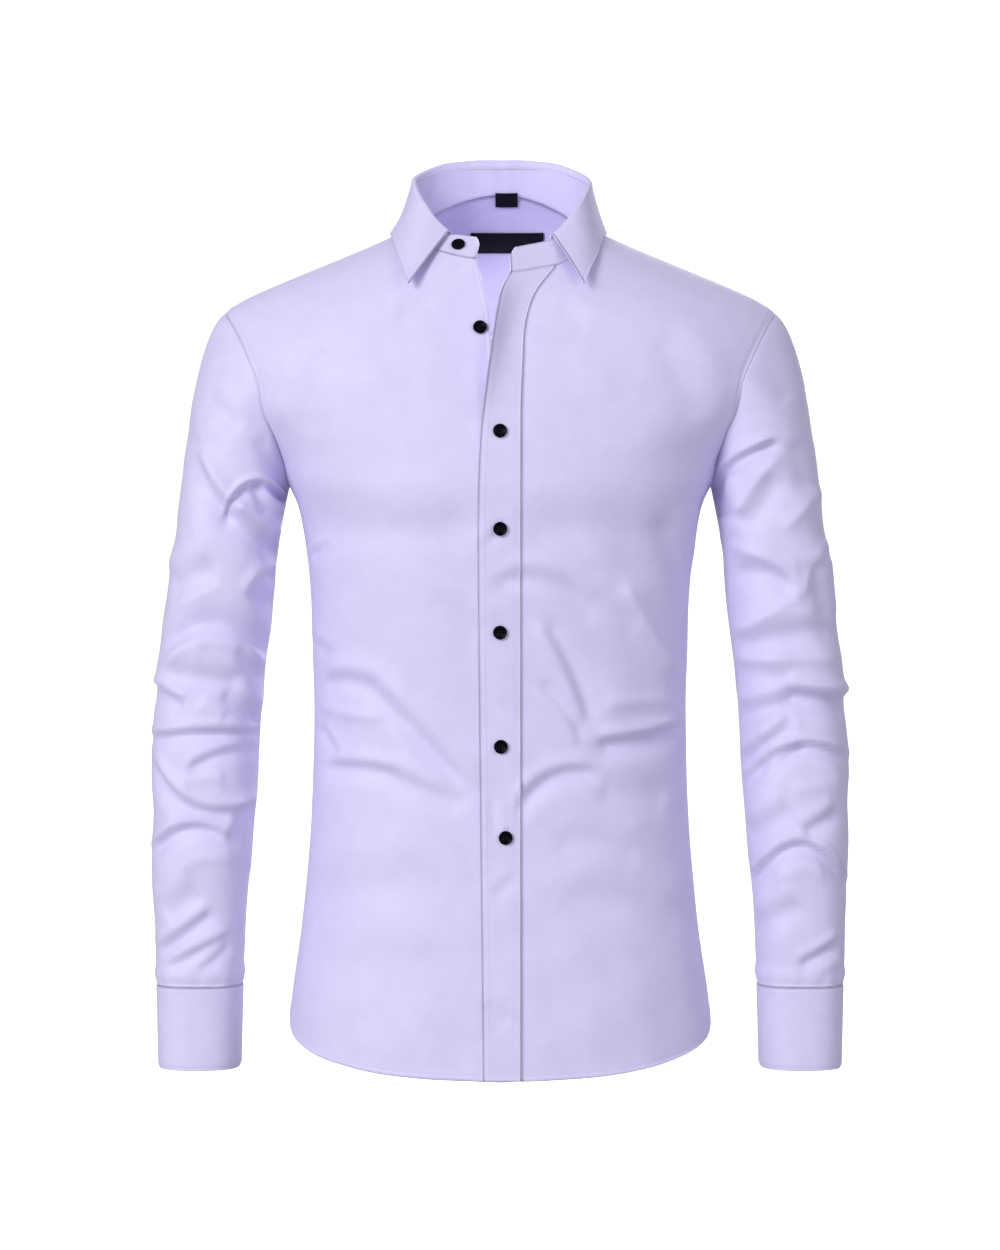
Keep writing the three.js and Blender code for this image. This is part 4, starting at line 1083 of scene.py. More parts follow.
def shell_mesh(name: str, outer: Array, inner: Array, around: bool, flipped: bool) -> bpy.types.Mesh:
    """Closed thin shell between two grids, with a rounded rim and UVs in metres.

    Args:
        name: Name to give it.
        outer: Grid of the outside.
        inner: Grid of the inside.
        around: Whether the grid closes on itself.
        flipped: Whether the grid runs the other way round.

    Returns:
        The mesh.
    """
    rows, columns = outer.shape[:2]
    count = rows * columns
    index = np.arange(count).reshape(rows, columns)
    left = index if around else index[:, :-1]
    right = np.roll(index, -1, axis=1) if around else index[:, 1:]
    face = np.stack([left[:-1], right[:-1], right[1:], left[1:]], axis=-1).reshape(-1, 4)
    faces = [face, face[:, ::-1] + count]
    points = [outer.reshape(-1, 3), inner.reshape(-1, 3)]
    start = 2 * count
    middle = (outer + inner) / 2
    thick = np.linalg.norm(outer - inner, axis=-1, keepdims=True)
    for loop in rim_loops(rows, columns, around):
        j, i = loop[:, 0], loop[:, 1]
        near_j = np.clip(j, 1, rows - 2)
        near_i = i if around else np.clip(i, 1, columns - 2)
        out = unit(middle[j, i] - middle[near_j, near_i])
        points.append(middle[j, i] + out * thick[j, i] * 0.42)
        rim = start + np.arange(len(loop))
        edge = index[j, i]
        after, rim_after = np.roll(edge, -1), np.roll(rim, -1)
        faces.append(np.stack([edge, rim, rim_after, after], axis=-1))
        faces.append(np.stack([rim, edge + count, after + count, rim_after], axis=-1))
        start += len(loop)
    quads = np.concatenate(faces)
    if flipped:
        quads = quads[:, ::-1]
    vertices = np.concatenate(points) * MM
    mesh = bpy.data.meshes.new(name)
    mesh.from_pydata(vertices.tolist(), [], quads.tolist())
    u = lengths(middle, 1) * MM
    v = lengths(middle, 0) * MM
    flat = np.stack([u, v], axis=-1).reshape(-1, 2)
    spots = [flat, flat] + [
        np.stack([u[l[:, 0], l[:, 1]], v[l[:, 0], l[:, 1]]], axis=-1)
        for l in rim_loops(rows, columns, around)
    ]
    every = np.concatenate(spots)
    layer = mesh.uv_layers.new(name="cloth")
    layer.data.foreach_set("uv", every[quads.reshape(-1)].astype(np.float32).reshape(-1))
    mesh.polygons.foreach_set("use_smooth", np.ones(len(quads), bool))
    mesh.update()
    mesh.validate()
    return mesh


# Finishes


def node_material(name: str) -> tuple[bpy.types.Material, bpy.types.NodeTree, bpy.types.Node]:
    """New node material with its surface shader.

    Args:
        name: Name to give it.

    Returns:
        Material, its node tree and its surface shader.
    """
    material = bpy.data.materials.new(name)
    material.use_nodes = True
    tree = material.node_tree
    return material, tree, tree.nodes["Principled BSDF"]


def new_node(tree: bpy.types.NodeTree, kind: str, **settings: object) -> bpy.types.Node:
    """New node; settings are its properties, or inputs where they begin with in_.

    Args:
        tree: Node tree to add to.
        kind: Blender's name of the kind of node.
        **settings: Properties and inputs to set.

    Returns:
        The node.
    """
    node = tree.nodes.new(kind)
    for key, value in settings.items():
        if key.startswith("in_"):
            node.inputs[key[3:].replace("_", " ")].default_value = value
        else:
            setattr(node, key, value)
    return node


@dataclass(frozen=True)
class CottonFinish:
    """Fine plain-weave cotton with a soft satin sheen."""

    name: str
    light: tuple[float, float, float, float] = (0.69, 0.652, 0.92, 1)
    dark: tuple[float, float, float, float] = (0.655, 0.615, 0.885, 1)
    thread: float = 0.00042
    roughness: float = 0.55
    sheen: float = 0.3
    weave: float = 0.35

    def make(self) -> bpy.types.Material:
        """Build the node material.

        Returns:
            The material.
        """
        material, tree, shader = node_material(self.name)
        uv = new_node(tree, "ShaderNodeUVMap", uv_map="cloth")
        place = new_node(tree, "ShaderNodeTexCoord")
        warp = self.threads(tree, uv, "X")
        weft = self.threads(tree, uv, "Y")
        cross = new_node(tree, "ShaderNodeMath", operation="MAXIMUM")
        tree.links.new(warp, cross.inputs[0])
        tree.links.new(weft, cross.inputs[1])
        slub = new_node(tree, "ShaderNodeTexNoise", in_Scale=60.0, in_Detail=4.0, in_Roughness=0.6)
        tree.links.new(place.outputs["Object"], slub.inputs["Vector"])
        blend = new_node(tree, "ShaderNodeMix", data_type="RGBA")
        blend.inputs["A"].default_value = self.dark
        blend.inputs["B"].default_value = self.light
        share = new_node(tree, "ShaderNodeMapRange", in_From_Min=0.3, in_From_Max=0.7)
        tree.links.new(slub.outputs["Fac"], share.inputs["Value"])
        tree.links.new(share.outputs["Result"], blend.inputs["Factor"])
        color = blend.outputs[2]
        tree.links.new(color, shader.inputs["Base Color"])
        weave = new_node(tree, "ShaderNodeBump", in_Strength=self.weave, in_Distance=0.00005)
        tree.links.new(cross.outputs[0], weave.inputs["Height"])
        hand = new_node(tree, "ShaderNodeTexNoise", in_Scale=140.0, in_Detail=3.0)
        tree.links.new(place.outputs["Object"], hand.inputs["Vector"])
        feel = new_node(tree, "ShaderNodeBump", in_Strength=0.2, in_Distance=0.0004)
        tree.links.new(hand.outputs["Fac"], feel.inputs["Height"])
        tree.links.new(weave.outputs["Normal"], feel.inputs["Normal"])
        tree.links.new(feel.outputs["Normal"], shader.inputs["Normal"])
        shader.inputs["Roughness"].default_value = self.roughness
        shader.inputs["Sheen Weight"].default_value = self.sheen
        shader.inputs["Sheen Roughness"].default_value = 0.45
        shader.inputs["Specular IOR Level"].default_value = 0.3
        return material

    def threads(self, tree: bpy.types.NodeTree, uv: bpy.types.Node, axis: str) -> bpy.types.NodeSocket:
        """Ridges of the threads that run along one way.

        Args:
            tree: Node tree to add to.
            uv: Node that gives the UVs in metres.
            axis: Way across the threads.

        Returns:
            Socket with the height of the ridges.
        """
        wave = new_node(tree, "ShaderNodeTexWave", wave_type="BANDS", bands_direction=axis)
        wave.inputs["Scale"].default_value = 2 * math.pi / (20 * self.thread)
        wave.inputs["Distortion"].default_value = 0.4
        tree.links.new(uv.outputs["UV"], wave.inputs["Vector"])
        return wave.outputs["Fac"]


@dataclass(frozen=True)
class PlainFinish:
    """Plain finish with slight unevenness, for thread, buttons and labels."""

    name: str
    color: tuple[float, float, float, float]
    roughness: float
    specular: float = 0.5
    grain: float = 900.0
    bump: float = 0.00002

    def make(self) -> bpy.types.Material:
        """Build the node material.

        Returns:
            The material.
        """
        material, tree, shader = node_material(self.name)
        place = new_node(tree, "ShaderNodeTexCoord")
        noise = new_node(tree, "ShaderNodeTexNoise", in_Scale=self.grain, in_Detail=3.0)
        tree.links.new(place.outputs["Object"], noise.inputs["Vector"])
        rough = new_node(tree, "ShaderNodeMapRange", in_To_Min=self.roughness * 0.85)
        rough.inputs["To Max"].default_value = self.roughness * 1.15
        tree.links.new(noise.outputs["Fac"], rough.inputs["Value"])
        tree.links.new(rough.outputs["Result"], shader.inputs["Roughness"])
        bump = new_node(tree, "ShaderNodeBump", in_Strength=0.4, in_Distance=self.bump)
        tree.links.new(noise.outputs["Fac"], bump.inputs["Height"])
        tree.links.new(bump.outputs["Normal"], shader.inputs["Normal"])
        shader.inputs["Base Color"].default_value = self.color
        shader.inputs["Specular IOR Level"].default_value = self.specular
        return material


@dataclass
class Wardrobe:
    """The finishes in use."""

    shirting: bpy.types.Material
    stiff: bpy.types.Material
    thread: bpy.types.Material
    button: bpy.types.Material
    satin: bpy.types.Material

    @classmethod
    def make(cls) -> Wardrobe:
        """Build every finish once.

        Returns:
            The wardrobe with its materials.
        """
        return cls(
            shirting=CottonFinish("shirting").make(),
            stiff=CottonFinish("stiffened_shirting", sheen=0.25).make(),
            thread=PlainFinish("sewing_thread", (0.66, 0.625, 0.88, 1), 0.5).make(),
            button=PlainFinish("button_black", (0.0015, 0.0012, 0.004, 1), 0.3, specular=0.06).make(),
            satin=PlainFinish(
                "label_satin", (0.005, 0.0045, 0.011, 1), 0.55, specular=0.15, grain=2600.0
            ).make(),
        )


def place_mesh(mesh: bpy.types.Mesh, finish: bpy.types.Material) -> bpy.types.Object:
    """Put a mesh in the scene as a piece that rides on the shirt.

    Args:
        mesh: Mesh in metres.
        finish: Material of the piece.

    Returns:
        The piece.
    """
    mesh.materials.append(finish)
    piece = bpy.data.objects.new(mesh.name, mesh)
    bpy.context.scene.collection.objects.link(piece)
    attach(piece, "root")
    return piece


@dataclass
class Stitching:
    """Rows of small stitches, gathered into one mesh."""

    name: str
    pitch: float = 2.6
    reach: float = 1.95
    radius: float = 0.2
    parts: list[Array] = field(default_factory=list)

    STATIONS = ((0.0, 0.3, -0.12), (0.3, 1.0, 0.1), (0.7, 1.0, 0.1), (1.0, 0.3, -0.12))

    def sew(self, points: Array, normals: Array) -> None:
        """Add stitches along a line on the cloth.

        Args:
            points: Points along the line.
            normals: Normals of the cloth at them.
        """
        run = lengths(points)
        starts = np.arange(0.4, run[-1] - self.reach, self.pitch)
        if not len(starts):
            return
        rings = []
        for share, size, lift in self.STATIONS:
            at = starts + share * self.reach
            spot = np.stack([np.interp(at, run, points[:, k]) for k in range(3)], axis=-1)
            ahead = np.stack([np.interp(at + 0.3, run, points[:, k]) for k in range(3)], axis=-1)
            up = unit(np.stack([np.interp(at, run, normals[:, k]) for k in range(3)], axis=-1))
            side = unit(np.cross(ahead - spot, up))
            width = self.radius * size
            spot = spot + up * lift
            ring = [spot + side * width, spot + up * width, spot - side * width, spot - up * width]
            rings.append(np.stack(ring, axis=1))
        self.parts.append(np.stack(rings, axis=1))

    def build(self, finish: bpy.types.Material, slot: str) -> bpy.types.Object:
        """Make the mesh of all stitches.

        Args:
            finish: Material of the piece.
            slot: Not used.

        Returns:
            The piece.
        """
        every = np.concatenate(self.parts)
        count = len(every)
        base = np.arange(count)[:, None] * 16
        quads = []
        for ring in range(3):
            for k in range(4):
                after = (k + 1) % 4
                low, high = ring * 4, ring * 4 + 4
                quads.append(base + np.array([[low + k, low + after, high + after, high + k]]))
        mesh = bpy.data.meshes.new(self.name)
        faces = np.concatenate(quads)
        mesh.from_pydata((every.reshape(-1, 3) * MM).tolist(), [], faces.tolist())
        mesh.polygons.foreach_set("use_smooth", np.ones(len(faces), bool))
        mesh.update()
        log.info("%s: %d stitches", self.name, count)
        return place_mesh(mesh, finish)


class Body:
    """Fronts, placket, back and yoke."""

    def __init__(self, pattern: Pattern) -> None:
        """Lay out the panels on the form and crease them.

        Args:
            pattern: Outlines of the panels.
        """
        self.pattern = pattern
        middle = (0.0, SIDE_Y)
        right = self.crease(pattern.front(Hand.RIGHT), Side.FRONT, FRONT_SEED)
        left_plain = pattern.front(Hand.LEFT)
        left = self.crease(left_plain, Side.FRONT, FRONT_SEED)
        placket = self.crease(pattern.placket(left_plain), Side.FRONT, FRONT_SEED)
        ramp = smooth((right[..., 0] - LAP_TUCK_FROM) / LAP_TUCK_RUN)
        right[..., 1] += FRONT_LAP_TUCK * ramp
        self.right = Panel(right, middle)
        self.left = Panel(left, middle)
        self.placket = Panel(placket, (0.0, SIDE_Y + 60))
        self.back = Panel(self.crease(pattern.back(), Side.BACK, BACK_SEED), middle)
        self.yoke = Panel(pattern.yoke(), middle)
        self.rings = {hand: self.armhole_ring(hand) for hand in Hand}
        self.seams()

    @staticmethod
    def crease(grid: Array, side: Side, seed: int) -> Array:
        """Push the creases of a side into a grid.

        Args:
            grid: Grid of points.
            side: Front or back half of the form.
            seed: Seed of the slight unevenness.

        Returns:
            The creased grid.
        """
        out = np.stack([grid[..., 0] * 0.35, grid[..., 1] - SIDE_Y, np.zeros(grid.shape[:2])], axis=-1)
        fade = np.clip(np.abs(grid[..., 1] - SIDE_Y) / 40, 0, 1)
        creases = FRONT_CREASES if side is Side.FRONT else BACK_CREASES
        push = crease_push(creases, grid[..., 0], grid[..., 2])
        push += ripple(grid[..., 0], grid[..., 2], seed) * smooth((-60 - grid[..., 2]) / 80)
        return grid + unit(out) * (push * fade)[..., None]

    def armhole_ring(self, hand: Hand) -> Array:
        """Points round an armhole, from the armpit up the front and down the back.

        Args:
            hand: Side of the wearer.

        Returns:
            Points of the ring.
        """
        front = self.right if hand is Hand.RIGHT else self.left
        edge = 0 if hand is Hand.RIGHT else -1
        low = SIDE_ROWS * DENSE
        up = front.grid[low:, 0][::-1]
        down = self.back.grid[low + 1 :, edge]
        high = self.yoke.grid[1:-1, edge]
        return np.concatenate([up, down, high])

    def seams(self) -> None:
        """Raise the felled seams and hems that the stitches hold."""
        low = SIDE_ROWS * DENSE
        for panel in (self.right, self.left):
            relief = panel.band(Edge.BOTTOM, HEM_WIDTH, HEM_RISE)
            armhole = panel.band(Edge.START, FELL_WIDTH, FELL_RISE)
            armhole[:low] = 0
            relief += armhole
            relief -= panel.band(Edge.START, SEAM_DIP_WIDTH, SEAM_DIP)
            relief -= panel.band(Edge.TOP, SEAM_DIP_WIDTH, FELL_RISE)
            panel.raise_by(relief)
        back = self.back
        relief = back.band(Edge.BOTTOM, HEM_WIDTH, HEM_RISE)
        for edge in (Edge.START, Edge.END):
            armhole = back.band(edge, FELL_WIDTH, FELL_RISE)
            armhole[:low] = 0
            relief += armhole - back.band(edge, SEAM_DIP_WIDTH, SEAM_DIP)
        back.raise_by(relief - back.band(Edge.TOP, WIDE_DIP_WIDTH, SEAM_DIP))
        yoke = self.yoke
        relief = yoke.band(Edge.BOTTOM, HEM_WIDTH, YOKE_FELL_RISE)
        relief += yoke.band(Edge.START, FELL_WIDTH, YOKE_FELL_RISE)
        yoke.raise_by(relief + yoke.band(Edge.END, FELL_WIDTH, YOKE_FELL_RISE))

    def build(self, wardrobe: Wardrobe) -> None:
        """Make the pieces.

        Args:
            wardrobe: Materials to dress the pieces in.
        """
        cloth(self.right, "front_right", wardrobe.shirting, hem=True)
        cloth(self.left, "front_left", wardrobe.shirting, hem=True)
        cloth(self.back, "back", wardrobe.shirting, hem=True)
        cloth(self.yoke, "yoke", wardrobe.shirting)
        placket = self.placket
        sunk = placket.band(Edge.START, SEAM_GAP, PLACKET_SINK)
        rolled = placket.band(Edge.END, SEAM_GAP, PLACKET_ROLL)
        placket.raise_by(-sunk - rolled)
        cloth(
            placket, "front_placket", wardrobe.stiff, PLACKET_CLOTH, PLACKET_PROUD
        )

    def sew(self, stitching: Stitching) -> None:
        """Sew placket, hems, armholes, shoulders and yoke.

        Args:
            stitching: Stitches to add to.
        """
        low = SIDE_ROWS * DENSE
        for inset, edge in ((EDGE_STITCH, Edge.START), (EDGE_STITCH, Edge.END)):
            stitching.sew(*self.placket.line(edge, inset, PLACKET_PROUD))
        stitching.sew(*(part[: -NECK_ROWS * DENSE] for part in self.right.line(Edge.END, EDGE_STITCH)))
        for panel in (self.right, self.left, self.back):
            stitching.sew(*panel.line(Edge.BOTTOM, HEM_WIDTH - 1))
        for panel in (self.right, self.left):
            stitching.sew(*(part[low:] for part in panel.line(Edge.START, FELL_WIDTH - 1)))
            stitching.sew(*panel.line(Edge.TOP, NEAR_STITCH))
        for edge in (Edge.START, Edge.END):
            stitching.sew(*(part[low:] for part in self.back.line(edge, FELL_WIDTH - 1)))
            stitching.sew(*self.yoke.line(edge, FELL_WIDTH - 1))
        stitching.sew(*self.yoke.line(Edge.BOTTOM, NEAR_STITCH))

    def seat(self, x: float, z: float, proud: float) -> tuple[Array, Array]:
        """Point and normal on the fronts at a place in the front view.

        Args:
            x: Distance from the middle, negative on the right.
            z: Height.
            proud: Height over the form.

        Returns:
            Point and normal.
        """
        step = 2.0
        xs = np.array([x, x + step, x - step, x, x])
        zs = np.array([z, z, z, z + step, z - step])
        plain = self.pattern.form.at(xs, zs, Side.FRONT)[None]
        points = self.crease(plain, Side.FRONT, FRONT_SEED)[0]
        normal = unit(np.cross(points[1] - points[2], points[3] - points[4]))
        if normal[1] > 0:
            normal = -normal
        return points[0] + normal * proud, normal


def cloth(
    panel: Panel,
    node: str,
    finish: bpy.types.Material,
    thickness: float = CLOTH,
    proud: float = 0.0,
    hem: bool = False,
) -> bpy.types.Object:
    """Args:
        panel: Panel to make.
        node: CAD node that it stands for.
        finish: Material of the piece.
        thickness: Thickness of the cloth.
        proud: Height of its outside over the form.
        hem: Whether its bottom edge is hemmed.

    Returns:
        The piece.
    """
    hemmed = panel.band(Edge.BOTTOM, HEM_WIDTH, 0.5) if hem else 0.0
    outer = panel.offset(np.full(panel.grid.shape[:2], proud))
    inner = panel.offset(proud - thickness - hemmed * np.ones(panel.grid.shape[:2]))
    mesh = shell_mesh(f"cloth_{node}", outer, inner, panel.around, panel.flipped)
    piece = place_mesh(mesh, finish)
    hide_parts(node)
    return piece


class Sleeve:
    """One sleeve, its cuff, slit placket and cuff button."""

    CURVES = {name: Curve(SLEEVE_RINGS["z"], SLEEVE_RINGS[name]) for name in ("outer", "inner", "depth", "y")}

    def __init__(self, hand: Hand, ring: Array) -> None:
        """Shape the tube from the armhole ring to the cuff.

        Args:
            hand: Side of the wearer.
            ring: Points round the armhole.
        """
        self.hand = hand
        self.word = hand.name.lower()
        self.creases = RIGHT_SLEEVE_CREASES if hand is Hand.RIGHT else LEFT_SLEEVE_CREASES
        middle = (self.CURVES["outer"](-430) + self.CURVES["inner"](-430)) / 2
        self.axis = (hand.value * float(middle), 0.0)
        self.tube = Panel(self.shape(ring)[::-1], self.axis, around=True)
        self.finish_ends()
        self.cuff = Panel(self.cuff_grid()[::-1], self.axis)

    def point(self, degrees: Array, z: Array, proud: float | Array = 0.0) -> Array:
        """Points at a height and turn; turn 0 is outside and 90 the front.

        Args:
            degrees: Turn in degrees.
            z: Height.
            proud: Height over the form.

        Returns:
            Points of the tube.
        """
        angle = np.radians(degrees)
        power = SLEEVE_POWER
        size = (np.abs(np.cos(angle)) ** power + np.abs(np.sin(angle)) ** power) ** (1 / power)
        outer, inner = self.CURVES["outer"](z), self.CURVES["inner"](z)
        x = (outer + inner) / 2 + ((outer - inner) / 2 + proud) * np.cos(angle) / size
        y = self.CURVES["y"](z) - (self.CURVES["depth"](z) + proud) * np.sin(angle) / size
        return np.stack(np.broadcast_arrays(self.hand.value * x, y, np.asarray(z, float)), axis=-1)

    def crown(self, ring: Array, degrees: Array, t: float) -> Array:
        """Ring of the crown between the armhole and the first level ring.

        Args:
            ring: Points round the armhole.
            degrees: Turn in degrees.
            t: Share of the way down.

        Returns:
            Points of one row.
        """
        to = self.point(degrees, np.full_like(degrees, CAP_END))
        reach = np.linalg.norm(to - ring, axis=-1, keepdims=True)
        upper = (1 + np.cos(np.radians(degrees))) / 2
        leave = np.stack([self.hand.value * (0.12 + 0.75 * upper), 0 * upper, 0.42 * upper - 1], axis=-1)
        low = self.point(degrees, np.full_like(degrees, CAP_END - 4))
        high = self.point(degrees, np.full_like(degrees, CAP_END + 4))
        rise = t * t * (3 - 2 * t)
        bend = unit(leave) * t * (1 - t) * (1 - t) * reach * 0.5
        bend = bend + unit(low - high) * t * t * (t - 1) * reach
        return ring * (1 - rise) + to * rise + bend

    def shape(self, ring: Array) -> Array:
        """Rows of the tube from the armhole down, with its creases.

        Args:
            ring: Points round the armhole.

        Returns:
            Grid of points.
        """
        degrees = np.arange(len(ring)) * 360 / len(ring)
        shares = np.linspace(0, 1, CAP_ROWS * DENSE + 1)[:-1]
        rows = [self.crown(ring, degrees, t) for t in shares]
        for z in np.linspace(CAP_END, SLEEVE_END, ARM_ROWS * DENSE + 1):
            rows.append(self.point(degrees, np.full_like(degrees, z)))
        grid = np.array(rows)
        sine = np.sin(np.radians(degrees))[None, :]
        row = np.arange(len(grid))[:, None] / DENSE
        share = np.minimum(1, np.abs(sine) * 1.5 + 0.3) * smooth(row / 4)
        share = share * smooth((grid[..., 2] - SLEEVE_END) / 24)
        front = crease_push(self.creases, grid[..., 0], grid[..., 2])
        shift = BACK_CREASE_DROP if self.hand is Hand.RIGHT else 0
        back = crease_push(SLEEVE_BACK_CREASES, np.abs(grid[..., 0]), grid[..., 2] + shift)
        mix = smooth(0.5 + sine * 2.2)
        push = front * mix + back * (1 - mix)
        push += ripple(grid[..., 0], grid[..., 2], SLEEVE_SEED + self.hand.value) * smooth(row / 4)
        angle = np.radians(degrees)
        out = np.stack([self.hand.value * np.cos(angle), -np.sin(angle), 0 * angle], axis=-1)
        return grid + out[None] * (push * share)[..., None]

    def finish_ends(self) -> None:
        """Dip the crown seam and gather the lower end over the cuff."""
        up = self.tube.distance(Edge.BOTTOM)
        bulge = 1.5 * np.exp(-(((up - 9) / 6) ** 2)) - 0.5 * np.exp(-((up / 1.6) ** 2))
        columns = np.arange(self.tube.grid.shape[1])[None, :]
        pleats = 0.35 * np.sin(columns * 2 * np.pi / 11.3) * np.exp(-((up / 14) ** 2))
        self.tube.raise_by(bulge + pleats - self.tube.band(Edge.TOP, WIDE_DIP_WIDTH, SEAM_DIP))

    def cuff_grid(self) -> Array:
        """Rows of the cuff from its seam down, wrapped once round.

        Returns:
            Grid of points.
        """
        start = CUFF_OPENING_TURN - CUFF_LAP_TURN / 2
        degrees = np.linspace(start, start + 360 + CUFF_LAP_TURN, 116)
        tuck = np.clip((degrees - start - CUFF_TUCK_FROM) / CUFF_TUCK_RUN, 0, 1)
        down = np.linspace(0, 1, 29)
        roll = -1.1 * smooth((down - 0.955) / 0.045) - 0.5 * smooth((0.03 - down) / 0.03)
        rows = []
        for share, edge in zip(down, roll):
            z = SLEEVE_END - SEAM_GAP + (CUFF_END - SLEEVE_END + SEAM_GAP) * share
            rows.append(self.point(degrees, np.full_like(degrees, z), CUFF_PROUD - CUFF_TUCK * tuck + edge))
        return np.array(rows)

    def build(self, wardrobe: Wardrobe) -> None:
        """Make sleeve, cuff and slit placket.

        Args:
            wardrobe: Materials to dress the pieces in.
        """
        cloth(self.tube, f"sleeve_{self.word}", wardrobe.shirting)
        cloth(self.cuff, f"cuff_{self.word}", wardrobe.stiff, CUFF_CLOTH)
        centre = round(CUFF_OPENING_TURN / 360 * self.tube.grid.shape[1])
        rows = self.tube.grid[:, 0, 2] < SLEEVE_SLIT_TOP
        over = self.tube.offset(np.full(self.tube.grid.shape[:2], SLIT_PROUD))
        strip = over[rows][:, centre - SLIT_COLUMNS : centre + SLIT_COLUMNS + 1]
        self.slit = Panel(strip, self.axis)
        name = f"sleeve_placket_{self.word}"
        cloth(self.slit, name, wardrobe.stiff, SLIT_CLOTH)

    def sew(self, stitching: Stitching) -> None:
        """Sew round the cuff and the slit placket.

        Args:
            stitching: Stitches to add to.
        """
        for edge in Edge:
            stitching.sew(*self.cuff.line(edge, EDGE_STITCH - 1))
            stitching.sew(*self.slit.line(edge, 2))

    def button_seat(self) -> tuple[Array, Array]:
        """Point and normal for the cuff button.

        Returns:
            Point and normal.
        """
        z = np.array((SLEEVE_END + CUFF_END) / 2)
        turn = np.array(CUFF_OPENING_TURN)
        seat = self.point(turn, z, CUFF_PROUD + 0.4)
        return seat, unit(seat - self.point(turn, z, -10.0))


class Collar:
    """Collar band and fall."""

    def __init__(self, body: Body) -> None:
        """Shape the band on the neck seam and the fall over it.

        Args:
            body: Body whose neck seam carries the collar.
        """
        self.pattern = body.pattern
        self.rise = Curve(BAND["turn"], BAND["rise"])
        self.lean = Curve(BAND["turn"], BAND["lean"])
        self.swell = Curve(FALL_SWELL["turn"], FALL_SWELL["swell"])
        self.edge = [Curve(FALL_EDGE["turn"], FALL_EDGE[axis]) for axis in "xyz"]
        self.band = Panel(self.band_grid(body), (0.0, NECK_AXIS_Y))
        self.fall_outer, self.fall_inner = self.fall_grids()
        self.fall = Panel(self.fall_outer, (0.0, NECK_AXIS_Y))

    @staticmethod
    def toward_neck(points: Array) -> Array:
        """Level direction from points to the neck's axis."""
        away = np.stack([-points[..., 0], NECK_AXIS_Y - points[..., 1], 0 * points[..., 0]], axis=-1)
        return unit(away)

    def band_point(self, bottom: Array, turn: Array, share: Array, cut: Array | float = 1.0) -> Array:
        """Points above the neck seam, share 0 bottom to 1 top.

        Args:
            bottom: Points of the neck seam.
            turn: Turn of each point in degrees.
            share: Share of the height, 0 at the seam.
            cut: Share of the height left at the rounded ends.

        Returns:
            Points of the band.
        """
        lean = self.toward_neck(bottom) * np.asarray(self.lean(turn) * share * cut)[..., None]
        rise = np.asarray(SEAM_GAP + self.rise(turn) * share * cut)[..., None]
        return bottom + lean + np.array([0, 0, 1.0]) * rise

    def band_grid(self, body: Body) -> Array:
        """Grid of the band along the neck seam of the panels.

        Args:
            body: Body whose neck seam carries the collar.

        Returns:
            Grid of points.
        """
        neck_rows = NECK_ROWS * DENSE
        shoulder = SHOULDER_COLUMNS * DENSE
        right = body.right.grid[-1 - neck_rows : -1, -1]
        left = body.left.grid[-1 - neck_rows : -1, -1][::-1]
        back = body.yoke.grid[-1, shoulder:-shoulder]
        neck = np.concatenate([right, back, left, body.placket.grid[-1, 1:]])
        below = np.concatenate(
            [
                body.right.line(Edge.END, BAND_LAP)[0][-1 - neck_rows : -1],
                body.yoke.line(Edge.TOP, BAND_LAP)[0][shoulder:-shoulder],
                body.left.line(Edge.END, BAND_LAP)[0][-1 - neck_rows : -1][::-1],
                body.placket.line(Edge.TOP, BAND_LAP)[0][1:],
            ]
        )
        run = lengths(neck)
        cut = np.sqrt(np.clip((np.minimum(run, run[-1] - run) + 4) / BAND_END_ROUND, 0, 1))
        angle = np.degrees(np.arcsin(np.clip(np.abs(neck[:, 0]) / NECK_HALF, 0, 1)))
        hand = np.where(neck[:, 0] < 0, -1, 1)
        turn = hand * np.where(neck[:, 1] > SIDE_Y, angle, 180 - angle)
        rows = [self.band_point(neck, turn, np.full_like(turn, s), cut) for s in np.linspace(0.04, 1, 15)]
        return np.array([below, *rows])

    def fall_section(self, degrees: float) -> tuple[Array, Array]:
        """Section of the fall: outer and inner points from the roll to the edge.

        Args:
            degrees: Turn in degrees.

        Returns:
            Outer and inner points.
        """
        edge = np.array([float(curve(degrees)) for curve in self.edge])
        top = self.band_point(self.pattern.neck_point(degrees), np.array(degrees), np.array(1.0))
        out = -self.toward_neck(top)
        centre = top + out * FOLD_OUT + np.array([0, 0, FOLD_UP])
        angles = np.radians(np.linspace(0, 140, 13))[:, None]
        lines = []
        for radius, shift, sink in (
            (FOLD_RADIUS, 0.0, FOLD_SINK_OUTER),
            (FOLD_RADIUS - STIFF_CLOTH, -STIFF_CLOTH, FOLD_SINK_INNER),
        ):
            rolled = centre - out * radius * np.cos(angles)
            rolled = rolled + np.array([0, 0, 1.0]) * radius * np.sin(angles)
            inside = rolled[:1] + out * sink - np.array([0, 0, FOLD_COVER])
            start, end = rolled[-1], edge + out * shift
            bend = (start + end) / 2 + out * self.swell(degrees) + np.array([0, 0, FALL_BEND_RISE])
            t = np.linspace(0, 1, 29)[1:, None]
            drop = start * (1 - t) ** 2 + bend * 2 * t * (1 - t) + end * t * t
            lines.append(np.concatenate([inside, rolled, drop]))
        return lines[0], lines[1]

    def fall_grids(self) -> tuple[Array, Array]:
        """Outer and inner grids of the fall.

        Returns:
            Outer and inner grid.
        """
        sections = [self.fall_section(d) for d in np.linspace(*FALL_REACH, 211)]
        outer = np.array([section[0] for section in sections]).swapaxes(0, 1)
        inner = np.array([section[1] for section in sections]).swapaxes(0, 1)
        return outer[::-1], inner[::-1]

